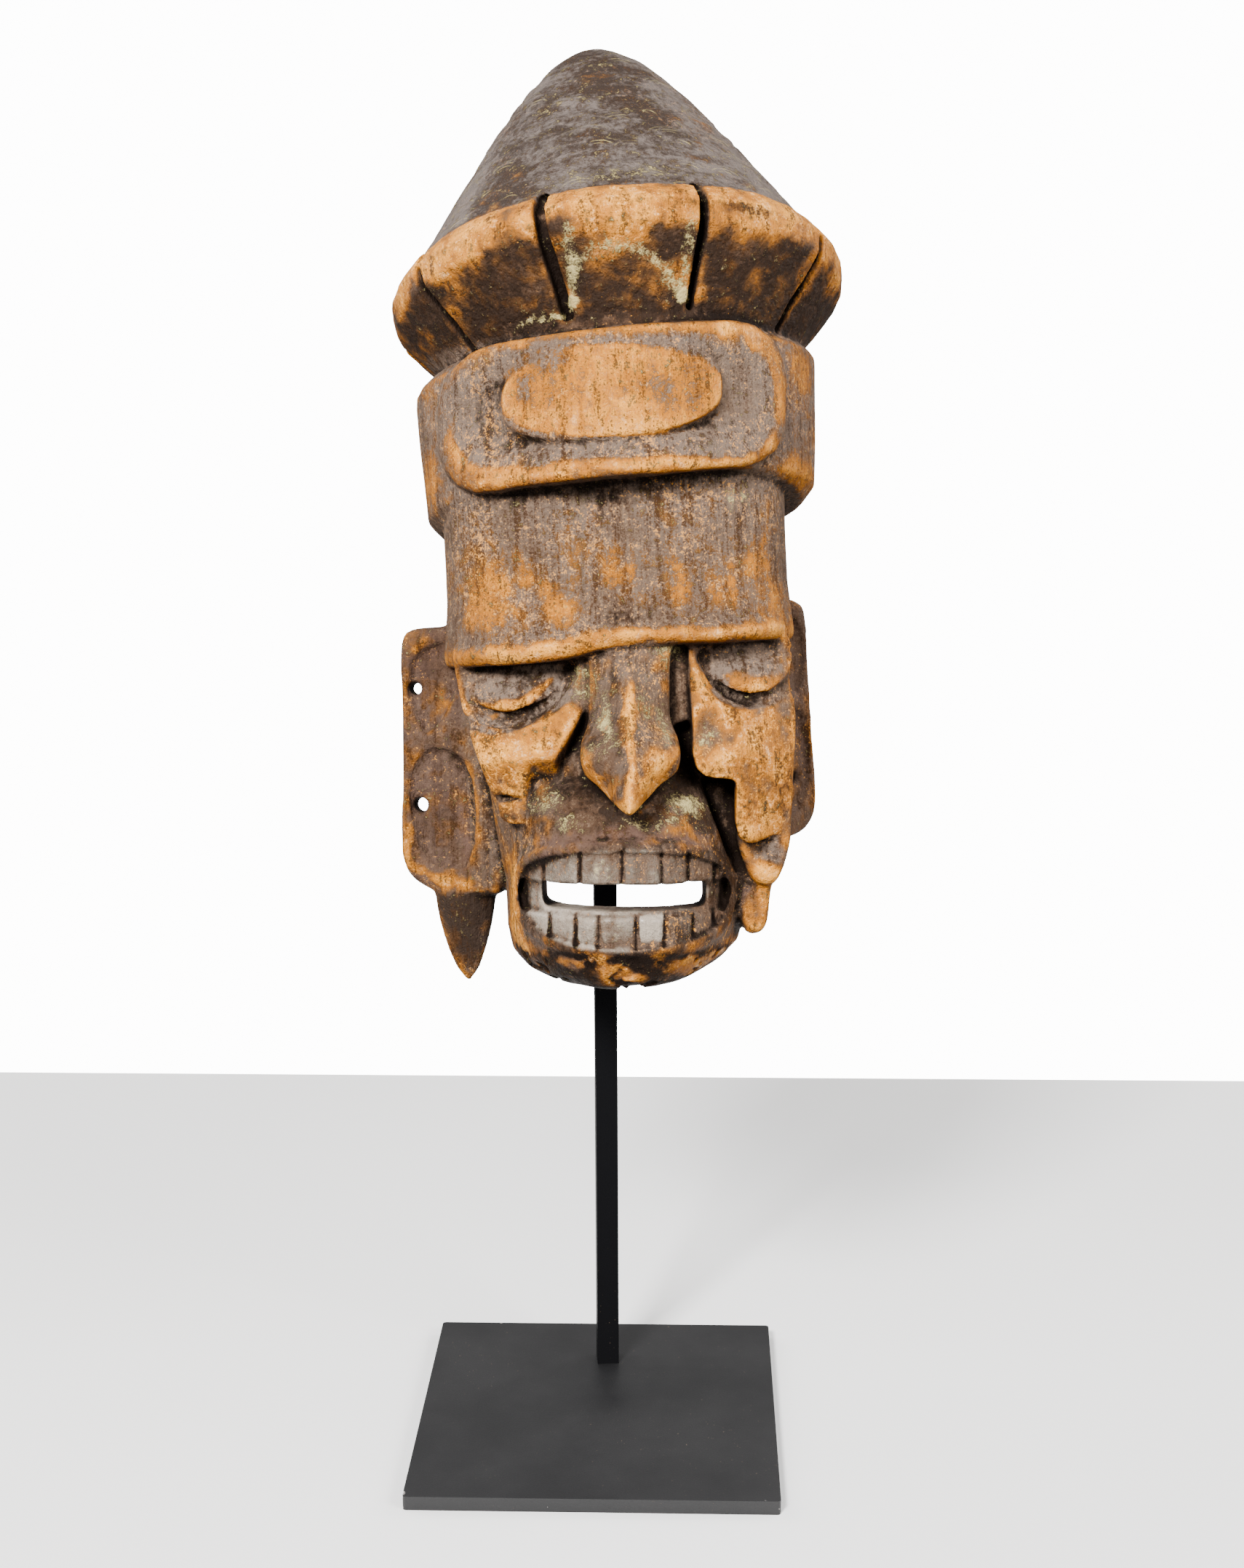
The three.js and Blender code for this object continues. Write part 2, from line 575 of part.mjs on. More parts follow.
// The mask, carved from one block.
function carvedMask() {
  const lids = [LEFT_EYE, RIGHT_EYE].map(eyeLid);
  const face = join(faceGround(), leftCheek(), rightCheek(), lids).subtract(nostrilHollows());
  const lowerFace = mouth(jaw().add(muzzle())).subtract(sideSlot());
  const head = join(forehead(), headband(), hat(), face, lowerFace, noseGroove(), nose(), rightDrops());
  return join(head, tusk(), ears()).subtract(hollow());
}

// Places one named piece in the scene.
function piece(name, geometry, colour, roughness, metalness) {
  const material = new THREE.MeshStandardMaterial({ color: colour, roughness, metalness });
  const mesh = new THREE.Mesh(geometry, material);
  mesh.name = name;
  return mesh;
}

const maskPose = new THREE.Group();
maskPose.position.set(POSE.x, POSE.y, POSE.z);
maskPose.rotation.set(rad(-POSE.lean), rad(-POSE.roll), rad(POSE.turn), "ZXY");
maskPose.updateMatrix();

// The bar runs up the open back to the roof of the hollow, and its end stands in a shallow socket there.
const barTop = (() => {
  const ceiling = new THREE.Vector3(HOLLOW.x, HOLLOW.y, HOLLOW.roof).applyMatrix4(maskPose.matrix);
  return ceiling.z + SOCKET.depth - 3;
})();

const barBody = (side, low, high) => {
  const geometry = new THREE.BoxGeometry(side, side, high - low);
  return geometry.rotateZ(rad(BAR.turn)).translate(BAR.x, BAR.y, (low + high) / 2);
};

const socket = solid(barBody(BAR.side + 2 * SOCKET.gap, barTop - 2 * SOCKET.depth - 8, barTop + SOCKET.gap))
  .transform([...maskPose.matrix.clone().invert().elements]);

const plateShape = roundedRectangle(0, 0, PLATE.side, PLATE.side, PLATE.corner);
const plateGeometry = new THREE.ExtrudeGeometry(plateShape, {
  depth: PLATE.thick,
  bevelEnabled: false,
  curveSegments: 4,
});

const WOOD = 0x5b4128;
const BLACK_STEEL = 0x1d1c1e;

maskPose.add(piece("mask", geometryOf(carvedMask().subtract(socket)), WOOD, 0.55, 0));

const maskOnStand = new THREE.Group();
maskOnStand.add(
  maskPose,
  piece("stand_bar", barBody(BAR.side, PLATE.thick, barTop), BLACK_STEEL, 0.6, 0.3),
  piece("stand_base", plateGeometry, BLACK_STEEL, 0.6, 0.3),
);

export default maskOnStand;
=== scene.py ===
"""A carved helmet mask on its museum stand: the worn carving, the paint of the stand and the stage."""

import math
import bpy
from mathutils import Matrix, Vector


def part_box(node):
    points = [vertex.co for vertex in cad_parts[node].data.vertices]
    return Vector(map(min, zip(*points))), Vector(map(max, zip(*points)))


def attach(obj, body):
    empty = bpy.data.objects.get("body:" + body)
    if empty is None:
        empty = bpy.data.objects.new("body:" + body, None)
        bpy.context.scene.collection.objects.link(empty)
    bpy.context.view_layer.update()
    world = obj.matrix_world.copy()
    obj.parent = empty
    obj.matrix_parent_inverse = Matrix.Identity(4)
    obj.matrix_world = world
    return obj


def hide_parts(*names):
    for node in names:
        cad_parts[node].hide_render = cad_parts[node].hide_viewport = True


bl_info = {
    "name": "Carved mask on a stand",
    "version": (1, 0, 0),
    "blender": (4, 5, 0),
    "location": "View3D > Sidebar > Carved mask",
    "description": "Carves and colours the mask, finishes its stand and sets the stage",
    "category": "Add Mesh",
}

from itertools import product

import bpy
import numpy as np
from bpy.props import FloatProperty, FloatVectorProperty, IntProperty, PointerProperty
from mathutils import Matrix, Vector
from mathutils.bvhtree import BVHTree

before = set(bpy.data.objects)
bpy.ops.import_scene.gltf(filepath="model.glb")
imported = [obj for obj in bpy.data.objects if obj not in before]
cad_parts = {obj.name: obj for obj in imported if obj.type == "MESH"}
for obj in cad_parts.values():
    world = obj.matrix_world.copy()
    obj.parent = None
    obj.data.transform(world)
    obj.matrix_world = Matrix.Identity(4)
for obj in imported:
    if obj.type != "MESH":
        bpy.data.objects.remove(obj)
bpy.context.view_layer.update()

# The mask's own frame, in millimetres: x to the viewer's right, y to the back, z up from under the chin
POSE = {"place": (12.0, 5.0, 206.0), "lean": 10.0, "roll": 2.0, "turn": 2.0}
HAT = {"place": (7.4, 5.0, 280.0), "tilt": 14.0, "roll": 3.2}
MOUTH = (0.7, 34)
TOOTH_SLOPE = 0.038
SEAM_LEAN = 0.06
# Depth in metres that full relief stands for in a material
WOOD_RELIEF = 0.0007
PAINT_RELIEF = 0.00006
FLOOR_RELIEF = 0.0001


def turn_matrix(axis, degrees):
    """A rotation as a numpy matrix."""
    return np.array(Matrix.Rotation(math.radians(degrees), 3, axis))


LEANING = (
    turn_matrix("Z", POSE["turn"]) @ turn_matrix("X", -POSE["lean"]) @ turn_matrix("Y", -POSE["roll"])
)
HAT_TURN = turn_matrix("Y", -HAT["roll"]) @ turn_matrix("X", -HAT["tilt"])


# Numbers over many points


def ease(value, low, high):
    """Rises smoothly from 0 at low to 1 at high."""
    t = np.clip((value - low) / (high - low), 0, 1)
    return t * t * (3 - 2 * t)


def spot(x, z, centre, reach, soft=0.5):
    """1 inside an upright ellipse, falling to 0 at its edge."""
    away = np.hypot((x - centre[0]) / reach[0], (z - centre[1]) / reach[1])
    return 1 - ease(away, 1 - soft, 1 + 0.2 * soft)


def stroke(x, z, points, half):
    """1 on a line through the points, falling to 0 at half its width."""
    nearest = np.full(len(x), 1e9)
    for (ax, az), (bx, bz) in zip(points, points[1:]):
        along = ((x - ax) * (bx - ax) + (z - az) * (bz - az)) / ((bx - ax) ** 2 + (bz - az) ** 2)
        along = np.clip(along, 0, 1)
        nearest = np.minimum(nearest, np.hypot(x - ax - along * (bx - ax), z - az - along * (bz - az)))
    return 1 - ease(nearest, 0.35 * half, half)


def hashed(cell, seed):
    """A repeatable number from -1 to 1 for each whole cell."""
    n = cell[..., 0] * 374761393 + cell[..., 1] * 668265263 + cell[..., 2] * 1274126177 + seed * 974634777
    n = n.astype(np.uint32)
    n = (n ^ (n >> 13)) * np.uint32(1274126177)
    n = n ^ (n >> 16)
    return n.astype(np.float64) / 2147483647.5 - 1


def ripple(points, size, seed):
    """Smooth noise from -1 to 1 with lumps about size millimetres across."""
    spread = points / np.asarray(size, float)
    cell = np.floor(spread).astype(np.int64)
    part = spread - cell
    part = part * part * part * (part * (part * 6 - 15) + 10)
    total = np.zeros(len(points))
    for corner in product((0, 1), repeat=3):
        weight = np.prod(np.where(corner, part, 1 - part), axis=1)
        total += weight * hashed(cell + np.array(corner), seed)
    return total


def layered(points, size, seed, layers=3):
    """Noise with finer noise on it."""
    total = 0
    for i in range(layers):
        total = total + ripple(points, np.asarray(size, float) / 2**i, seed + 7 * i) * 0.55**i
    return total


class Skin:
    """The points of a mesh in the mask's own frame, with their neighbours."""

    def __init__(self, mesh):
        self.mesh = mesh
        count = len(mesh.vertices)
        flat = np.zeros(count * 3)
        mesh.vertices.foreach_get("co", flat)
        self.points = (flat.reshape(-1, 3) * 1000 - POSE["place"]) @ LEANING
        edges = np.zeros(len(mesh.edges) * 2, np.int32)
        mesh.edges.foreach_get("vertices", edges)
        a, b = edges.reshape(-1, 2).T
        self.start = np.concatenate([a, b])
        self.end = np.concatenate([b, a])
        self.degree = np.maximum(np.bincount(self.start, minlength=count), 1)

    def around(self, values):
        """The mean of each point's neighbours."""
        if values.ndim == 1:
            return np.bincount(self.start, values[self.end], minlength=len(self.degree)) / self.degree
        return np.stack([self.around(v) for v in values.T], axis=1)

    def softened(self, values, rounds, share=0.6):
        """Values evened out over their neighbours."""
        for _ in range(rounds):
            values = values + (self.around(values) - values) * share
        return values

    def store(self):
        """Writes the points back to the mesh, in metres in the row frame."""
        placed = (self.points @ LEANING.T + POSE["place"]) / 1000
        self.mesh.vertices.foreach_set("co", placed.ravel())
        self.mesh.update()

    def facing(self):
        """The normals in the mask's own frame."""
        flat = np.zeros(len(self.mesh.vertices) * 3)
        self.mesh.vertex_normals.foreach_get("vector", flat)
        return flat.reshape(-1, 3) @ LEANING

    def paint(self, name, values):
        """Keeps one number for each point, for the material to read."""
        layer = self.mesh.attributes.new(name, "FLOAT", "POINT")
        layer.data.foreach_set("value", np.clip(values, -2, 2).astype(np.float32))

    def paint_vector(self, name, values):
        """Keeps three numbers for each point, for the material to read."""
        layer = self.mesh.attributes.new(name, "FLOAT_VECTOR", "POINT")
        layer.data.foreach_set("vector", values.astype(np.float32).ravel())


def hat_place(points):
    """Radius, angle from the front in degrees and height of points about the hat's own axis."""
    h = (points - HAT["place"]) @ HAT_TURN
    return np.hypot(h[:, 0], h[:, 1]), np.degrees(np.arctan2(h[:, 0], -h[:, 1])), h[:, 2]


def round_hat(radius, angle):
    """Distance in millimetres round the hat, which doesn't shrink to nothing at its tip."""
    return np.radians(angle) * np.maximum(radius, 12)


def applied(piece, modifier):
    """The mesh of a piece with its one modifier worked in."""
    graph = bpy.context.evaluated_depsgraph_get()
    mesh = bpy.data.meshes.new_from_object(piece.evaluated_get(graph))
    piece.modifiers.remove(modifier)
    old = piece.data
    piece.data = mesh
    bpy.data.meshes.remove(old)
    return mesh


def brow_line(x):
    """The height of the brow's lower edge."""
    return 125.8 + 4.6 * ease(x, -22, -4) + 0.012 * x


def gouge_marks(points):
    """Scattered shallow gouge marks on the hat, each with a sharp lower lip."""
    radius, angle, height = hat_place(points)
    around = round_hat(radius, angle)
    depth = np.zeros(len(points))
    for layer, (wide, tall) in enumerate(((19.0, 12.0), (14.0, 8.0))):
        row = np.floor(height / tall).astype(np.int64)
        shift = hashed(np.stack([row, row, row], axis=1), layer)
        column = np.floor(around / wide + shift).astype(np.int64)
        mark = np.stack([column, row, column * 0 + layer], axis=1)
        there = ease(hashed(mark, 11), -0.1, 0.5)
        u = (around / wide + shift - column - 0.5) * 2.3
        v = (height / tall - row - 0.5) * 2.3 - 0.3 * hashed(mark, 31) + 0.35 * u * u
        bowl = np.clip(1 - u * u - v * v, 0, 1)
        depth = np.maximum(depth, bowl**0.7 * ease(v, -1, -0.55) * there)
    return depth


CRACK = ((57.4, 336), (57.8, 331), (60.4, 323.6), (66.8, 314.8))
LEFT_LID_UNDER = ((-57, 103.5), (-48, 101), (-38, 103.5), (-30, 108.5), (-24, 113.5), (-17.5, 121))
RIGHT_LID_UNDER = ((36, 125), (39.5, 117.5), (45.5, 111.5), (53, 108), (61, 108), (67, 111.5))
UPPER_SEAMS = (-30.7, -16.4, -0.4, 14.9, 25.2, 35.8)
LOWER_SEAMS = (-28, -17.8, -9.2, 5.3, 16, 27.2, 35.4)


def hat_crack(x, z, angle, half):
    """1 along the short crack on the hat's right, falling to 0 at half its width."""
    flank = ease(angle, 60, 66) * (1 - ease(angle, 84, 92))
    return flank * stroke(x, z, CRACK, half)


def tooth_level(x, z):
    """Height above the rows of teeth, which slope down to the right."""
    return z + TOOTH_SLOPE * x


def seam(x, z, at, half):
    """1 along the leaning seam beside a tooth, fading over half its width."""
    return np.exp(-(((x - at - SEAM_LEAN * (z - 35)) / half) ** 2))


def tooth_relief(x, z):
    """Rounded teeth and the grooves between them, in millimetres."""
    relief = np.zeros(len(x))
    level = tooth_level(x, z)
    for inner, low, high, seed in ((UPPER_SEAMS, 40.5, 53, 5), (LOWER_SEAMS, 16, 26.8, 9)):
        seams = (-42, *inner, 43)
        row = ease(level, low - 1, low + 0.5) * (1 - ease(level, high - 0.5, high + 1))
        for i, (left, right) in enumerate(zip(seams, seams[1:])):
            t = np.clip((x - left) / (right - left), 0, 1) * 2 - 1
            inside = ((x > left) & (x <= right)) * row
            own = math.sin(seed + 2.3 * i)
            relief += inside * (0.55 * (1 - t**4) + 0.25 * own + 0.3 * t * math.sin(3.1 * i + seed))
        for at in seams[1:-1]:
            relief -= 0.75 * row * seam(x, z, at, 0.75)
    return relief


def carve(skin, settings):
    """Moves the remeshed points: worn edges, tool marks, the rolled brow, chips and uneven handwork."""
    p = skin.points
    x, y, z = p.T
    teeth = spot(x, z, MOUTH, (43, 22), 0.1) * ease(-y, 50, 58)
    ear_left = ease(-x, 62, 66) * ease(z, 28, 34)
    ear_right = ease(x, 66, 71) * ease(z, 44, 50) * ease(y, -20, -8)
    ears = np.maximum(ear_left, ear_right) * (1 - ease(z, 146, 156))
    panel = ease(z, 196, 202) * (1 - ease(z, 246, 252)) * ease(-y, 50, 62)
    little = skin.softened(p, settings.wear_rounds)
    much = skin.softened(little, 5 * settings.wear_rounds)
    loose = np.clip(0.65 * ears + 0.4 * panel, 0, 1)[:, None]
    worn = little * (1 - loose) + much * loose
    p = p + (worn - p) * (1 - 0.6 * teeth)[:, None]
    skin.points = p
    skin.store()
    n = skin.facing()
    x, y, z = p.T
    _, angle, height = hat_place(p)
    on_hat = ease(height, 1, 7) * ease(z, 270, 280)
    front = 1 - ease(y, 5, 40)
    hand = layered(p, (30, 30, 38), 3, 2) * 0.9 + ripple(p, (9, 9, 14), 9) * 0.3
    out = settings.unevenness * 1000 * hand * (1 - 0.7 * teeth)
    out -= on_hat * settings.gouge * 1000 * gouge_marks(p) * (1 - ease(height, 88, 98))
    flat_front = np.clip(-n[:, 1], 0, 1) * front * (1 - teeth) * (1 - on_hat)
    out += 0.12 * ripple(p, (1.7, 1.7, 26), 41) * flat_front
    forward = ease(-y, 40, 52)
    edge = brow_line(x) + 1.5 * ripple(p, (13, 60, 60), 77)
    roll = np.exp(-(((z - edge - 3.8) / 3.0) ** 2)) - 0.35 * np.exp(-(((z - edge - 10) / 3.5) ** 2))
    out += 1.15 * roll * forward * (1 - ease(np.abs(x - 5.5), 64, 76))
    aside = np.abs(x - 5.2)
    nose = ease(-y, 60, 68) * (1 - ease(aside, 17, 20)) * ease(z, 66, 70) * (1 - ease(z, 120, 128))
    out -= 1.1 * nose * np.exp(-(((aside - 8) / 4.5) ** 2)) * ease(z, 92, 100)
    out += 2.0 * nose * (spot(x, z, (-8.5, 89), (8, 10), 0.9) + spot(x, z, (18.5, 89), (8, 10), 0.9))
    out -= 0.9 * nose * np.exp(-(((aside - 9) / 3) ** 2)) * np.exp(-(((z - 79) / 4) ** 2))
    out += teeth * tooth_relief(x, z)
    lids = spot(x, z, (-40, 116), (20, 11), 0.9) + spot(x, z, (53.5, 118), (16, 10), 0.9)
    out += 1.2 * lids * forward
    under = stroke(x, z, LEFT_LID_UNDER, 4.6) + stroke(x, z, RIGHT_LID_UNDER, 4.2)
    out -= 1.5 * under * forward
    knobs = spot(x, z, (51, 55), (7, 6), 0.9) * 1.4 * ease(-y, 48, 54)
    knobs += spot(x, z, (55, 39), (7, 7), 0.9) * 1.8
    out += knobs * ease(x, 44, 47) * (1 - ease(y, -40, -34))
    lip = spot(x, z, (0, 64), (42, 12), 0.4) * forward * (1 - nose)
    out += 0.55 * lip * layered(p, (6, 12, 9), 23, 2)
    chin = (1 - ease(z, 9, 15)) * ease(-y, 20, 40)
    out -= 1.2 * chin * ease(layered(p, 9, 57, 3), 0.2, 0.5)
    out -= 0.35 * on_hat * hat_crack(x, z, angle, 1.0)
    skin.points = p + n * out[:, None]
    skin.store()


def spots(x, z, marks):
    """The sum of soft spots, each given as its place, its reach and its strength."""
    total = np.zeros(len(x))
    for px, pz, wide, tall, strength in marks:
        total += strength * spot(x, z, (px, pz), (wide, tall), 0.8)
    return total


# Soft spots of wear and dirt, and painted highlights on the nose: place across and up, half width, half
# height and strength
OVAL_WORN = (
    (-19, 239, 14, 6, -0.34), (-31, 229, 7, 8, -0.36), (-19, 226, 5, 5, -0.2),
    (20, 229, 18, 9, -0.14), (-12, 218, 24, 7, 0.1),
)
PANEL_RIM_WORN = (
    (-54, 214, 7, 10, 0.45), (-52, 204, 8, 8, 0.4), (61, 207, 6, 9, 0.4), (67, 227, 5, 16, 0.26),
    (60, 245, 6, 8, 0.34), (47, 251, 6, 5, 0.34), (-30, 245, 6, 6, 0.26), (-53, 233, 5, 7, 0.2),
)
BAND_SIDES_WORN = (
    (-67, 208, 9, 14, 0.22), (-70, 196, 12, 8, 0.24), (79, 238, 9, 10, 0.22),
    (73, 197, 12, 10, 0.26),
)
FOREHEAD_WORN = (
    (-44, 157, 7, 10, 0.3), (-49, 145, 9, 13, 0.36), (-33, 161, 6, 7, 0.24),
    (-18, 145, 12, 8, 0.34), (-25, 151, 5, 5, 0.26), (5, 156, 9, 8, 0.28), (6, 168, 14, 7, 0.16),
    (26, 155, 8, 13, 0.26), (44, 152, 8, 8, 0.2), (57, 161, 8, 10, 0.22), (60, 171, 6, 6, 0.2),
    (62, 145, 10, 14, 0.2),
)
CHEEKS_WORN = (
    (-28, 97, 13, 9, 0.3), (-36, 91, 14, 6, 0.36), (-48, 90, 9, 8, 0.28), (-19, 104, 7, 10, 0.3),
    (34, 110, 6, 13, 0.3), (44, 85, 12, 6, 0.36), (53, 92, 8, 11, 0.2), (60, 66, 12, 22, 0.2),
    (51, 55, 7, 6, 0.35), (-40, 70, 9, 10, 0.2), (37, 95, 9, 10, -0.16),
)
CHIN_FLAMES = (
    (-12, 14, 7, 4, 1), (-5.5, 7, 8, 6, 1), (-22, 11, 7, 4, 1), (-36, 15, 6, 5, 0.9),
    (24, 6, 11, 4, 0.9), (34.5, 10, 7, 4, 0.9), (3, 5, 8, 4, 0.8), (12, 13, 7, 2.5, 0.7),
)
NOSE_WORN = ((14, 84, 8, 9, 0.24), (13, 104, 6, 16, 0.2))
DROPS_WORN = (
    (54.6, 39, 6, 6, 0.45), (60.5, 36.3, 5, 5, 0.36), (48, 17.5, 5, 6, 0.34), (60, 46, 8, 7, -0.2),
)
EAR_WORN = ((-61, 52, 6, 12, 0.24),)
TUSK_TIP_WORN = ((-66, -4, 4, 5, 0.4),)
EAR_RED = ((-61, 54, 7, 14, 0.4),)
EAR_GRIME = ((-64, 91, 7, 22, 0.32),)
BAND_GRIME = ((-45, 227, 10, 13, 0.3),)
LIP_GRIME = ((-17, 74, 17, 8, 0.5), (2, 70, 20, 6, 0.36), (34, 76, 8, 8, 0.4))
FOREHEAD_GRIME = (
    (4.6, 144, 10, 8, 0.42), (-13, 160, 8, 12, 0.3), (50, 180, 12, 9, 0.32), (-2, 187, 12, 9, 0.34),
    (17, 147, 8, 6, 0.3),
)
SLOT_CHALK = ((-9.9, 261, 2.4, 3.2, 0.9), (32.5, 262.5, 2.6, 3.4, 0.9))
# Pale residue on the nose, with painted highlights on its sides
NOSE_CHALK_AND_HIGHLIGHTS = ((-4, 103, 4, 16, 0.56), (-9, 90, 6, 7, 0.3), (18, 100, 4, 14, 0.44), (11, 110, 5, 12, 0.3))
FACE_CHALK = ((-11, 117, 6, 9, 0.4), (37, 94, 7, 10, 0.3), (22, 127, 8, 4, 0.4))
LIP_CHALK = (
    (24, 69.5, 13, 7.5, 0.7), (-29, 69.6, 8, 7, 0.42), (-18.7, 62, 7, 4, 0.44),
    (13, 61, 16, 4, 0.36),
)
TEETH_CHALK = ((-7, 46, 6, 5, 0.4), (-3, 22, 5, 5, 0.25))
WAX_SPOTS = ((38, 93, 10, 14, 0.4), (20, 245, 30, 4, 0.4))
# The same round the hat: angle in degrees and height
BRIM_CRUST = ((34, -9, 18, 4, 0.5), (-40, -8, 24, 5, 0.34), (-8, -13, 30, 4, 0.34))

# Lines of wear and dirt, by the points that they pass through
PANEL_LOWER_EDGE = ((-48, 197), (-5, 199), (53, 198.5))
LEFT_LID_CRUST = ((-57, 110), (-49, 106.8), (-40.7, 108.4), (-34.7, 111.6), (-26, 117))
RIGHT_LID_CRUST = ((45, 116), (51, 114), (55.8, 112), (63, 114.5))
LEFT_LID_SLOPE = ((-60, 103), (-48, 98.5), (-34, 103), (-20, 114))
RIGHT_LID_SLOPE = ((39, 112), (55, 104), (69, 110))
NOSE_LEFT_EDGE = ((-13, 88), (-5, 76), (4, 67))
NOSE_RIGHT_EDGE = ((22, 88), (13, 76), (4, 67))
RIGHT_CHEEK_EDGE = ((30, 84), (42, 80.5), (54, 82))
LIP_EDGE = ((-30, 54), (-11, 57.5), (20, 57.5), (32, 53))
JAW_EDGE = ((-44, 46), (-45.5, 32), (-41, 15), (-33, 7))
EAR_LOWER_EDGE = ((-88, 58), (-87.6, 46.6), (-77.8, 38.6), (-62, 35.5))
EAR_FOLD = ((-66, 114), (-68.4, 110), (-76.4, 99))
TUSK_EDGE = ((-57, 22), (-60, 8), (-63.4, -2))
TUSK_FACE = ((-56, 24), (-60, 8), (-64, -3))
BRIM_FRONT = ((-4, 296), (36, 295))
FOREHEAD_SCRATCH = ((-15, 184), (-9.4, 175))
# The same with their strength and half width first
BRIM_CHALK_LINES = (
    (0.48, 2.9, ((-9, 272), (-6, 277), (2, 279.5), (10, 279.8), (18, 277.5), (25, 272), (31, 262))),
    (0.42, 3.2, ((-10.5, 286), (-9.5, 262))),
    (0.36, 2.8, ((36.5, 290), (31.5, 262))),
    (0.7, 1.6, ((-32, 255), (-14, 256.5))),
    (0.7, 1.6, ((60, 254), (69, 254))),
)
FOREHEAD_CHALK_LINES = (
    (0.75, 1.4, ((10, 191), (14.7, 192), (14, 195))),
    (0.75, 2.0, ((34, 192.5), (40, 190.5))),
    (0.75, 2.0, ((46, 187.5), (54, 185.5))),
)

# Wear past this value deepens more slowly
FULLY_WORN = 0.42


class Regions:
    """How far each point of the carving is on each of its parts, from 0 to 1, and where it lies."""

    def __init__(self, skin):
        p = skin.points
        n = skin.facing()
        self.x, self.y, self.z = p.T
        self.radius, self.angle, self.height = hat_place(p)
        self.fine = np.einsum("ij,ij->i", p - skin.softened(p, 8), n)
        broad = np.einsum("ij,ij->i", p - skin.softened(p, 60), n)
        bend = np.clip(self.fine / 0.2, -1, 1) * 0.45 + np.clip(broad / 1.4, -1, 1) * 0.55
        self.sunk = np.clip(-bend, 0, 1)
        self.raised = np.clip(bend, 0, 1)
        self.lumps = layered(p, (14, 14, 18), 101, 3)
        self.uneven_x = self.x + 3.0 * layered(p, (12, 30, 12), 211, 3)
        self.uneven_z = self.z + 3.0 * layered(p, (12, 30, 12), 223, 3)
        self.front = 1 - ease(self.y, 0, 45)
        self.forward = ease(-self.y, 40, 52)
        self.behind = ease(self.y, 35, 60)
        self.find_hat_and_band()
        self.find_face()
        self.find_teeth()

    def dots(self, marks):
        """Soft spots where their marks say."""
        return spots(self.x, self.z, marks)

    def blots(self, marks):
        """Soft spots with a ragged outline."""
        return spots(self.uneven_x, self.uneven_z, marks)

    def line(self, points, half):
        """A line through the points."""
        return stroke(self.x, self.z, points, half)

    def lines(self, rows):
        """The sum of lines, each given as its strength, half width and points."""
        return sum(strength * self.line(points, half) for strength, half, points in rows)

    def smear(self, points, half):
        """A ragged line through the points."""
        return stroke(self.uneven_x, self.uneven_z, points, half)

    def find_hat_and_band(self):
        x, y, z = self.x, self.y, self.z
        self.hat = ease(self.height, -0.5, 2.5) * ease(z, 262, 270)
        self.brim = ease(z, 249, 256) * (1 - self.hat)
        self.segment = self.brim * ease(-y, 50, 60)
        self.upper = ease(self.height + 4 * self.lumps, -20, -7)
        self.band = ease(z, 187, 192) * (1 - ease(z, 250, 256)) * (1 - self.brim)
        oval = np.abs((x - 3.4) / 42.5) ** 2.7 + np.abs((z - 226.5 - 0.04 * (3.4 - x)) / 17.5) ** 2.7
        self.oval = (1 - ease(oval, 0.9, 1.1)) * self.forward * self.band
        across = np.maximum(np.abs(x - 3.6) - 47, 0)
        upright = np.maximum(np.abs(z - 222.5) - 6.5, 0)
        self.corner = np.hypot(across, upright) / 22
        self.moat = self.band * (1 - self.oval) * (1 - ease(self.corner, 0.62, 0.78)) * self.forward

    def find_face(self):
        x, y, z = self.x, self.y, self.z
        above = ease(z - brow_line(x), -1.5, 0.5)
        self.face = 1 - above
        self.ear_left = ease(-x, 60, 64) * ease(z, 30, 34) * (1 - ease(z, 140, 146)) * ease(y, -26, -18)
        ear_right = ease(x, 68, 71) * ease(z, 44, 50) * (1 - ease(z, 150, 156)) * ease(y, -14, -4)
        self.ears = np.maximum(self.ear_left, ear_right)
        self.fore = above * (1 - ease(z, 187, 192)) * ease(-y, -40, -20) * (1 - self.ears)
        over = self.uneven_z - brow_line(x)
        self.crest = np.exp(-(((over - 3.2) / 3.2) ** 2)) * (0.8 + 0.4 * self.lumps)
        self.tusk = ease(-x, 50, 54) * (1 - ease(z, 30, 33)) * ease(y, -14, -6)
        self.mouth = spot(x, z, MOUTH, (43, 21), 0.12) * ease(-y, 45, 55)
        self.lips = spot(x, z, MOUTH, (50, 27), 0.12) * ease(-y, 45, 55)
        self.chin = self.face * (1 - ease(z + 0.03 * x, 11.5, 15.5)) * ease(-y, 20, 40)
        self.flames = self.blots(CHIN_FLAMES)
        aside = np.abs(x - 5) - 0.12 * (131 - z)
        self.nose = self.face * (1 - ease(aside, 12, 17)) * ease(-y, 62, 70) * ease(z, 64, 68)
        muzzle = self.face * spot(x, z, (1, 66), (42, 20), 0.2) * (1 - self.nose) * (1 - self.lips)
        self.lip = muzzle * ease(-y, 46, 54) * (1 - ease(z, 82, 88))
        self.lip_edge = self.smear(LIP_EDGE, 4.2) * self.face * self.forward
        hanging = spot(x, z, (57, 40), (14, 28), 0.2) * ease(x, 45, 48)
        self.drops = hanging * ease(-y, 0, 14) * (1 - ease(z, 51, 55))
        beside = self.face * self.forward * (1 - self.nose) * (1 - self.lip)
        self.cheeks = beside * ease(z, 50, 62) * (1 - self.mouth)
        lids = spot(x, z, (-40, 119), (23, 14), 0.25) + spot(x, z, (54, 120), (18, 13), 0.25)
        self.lids = lids * self.forward * self.face
        self.slopes = self.line(LEFT_LID_SLOPE, 6.5) + 0.7 * self.line(RIGHT_LID_SLOPE, 5.5)

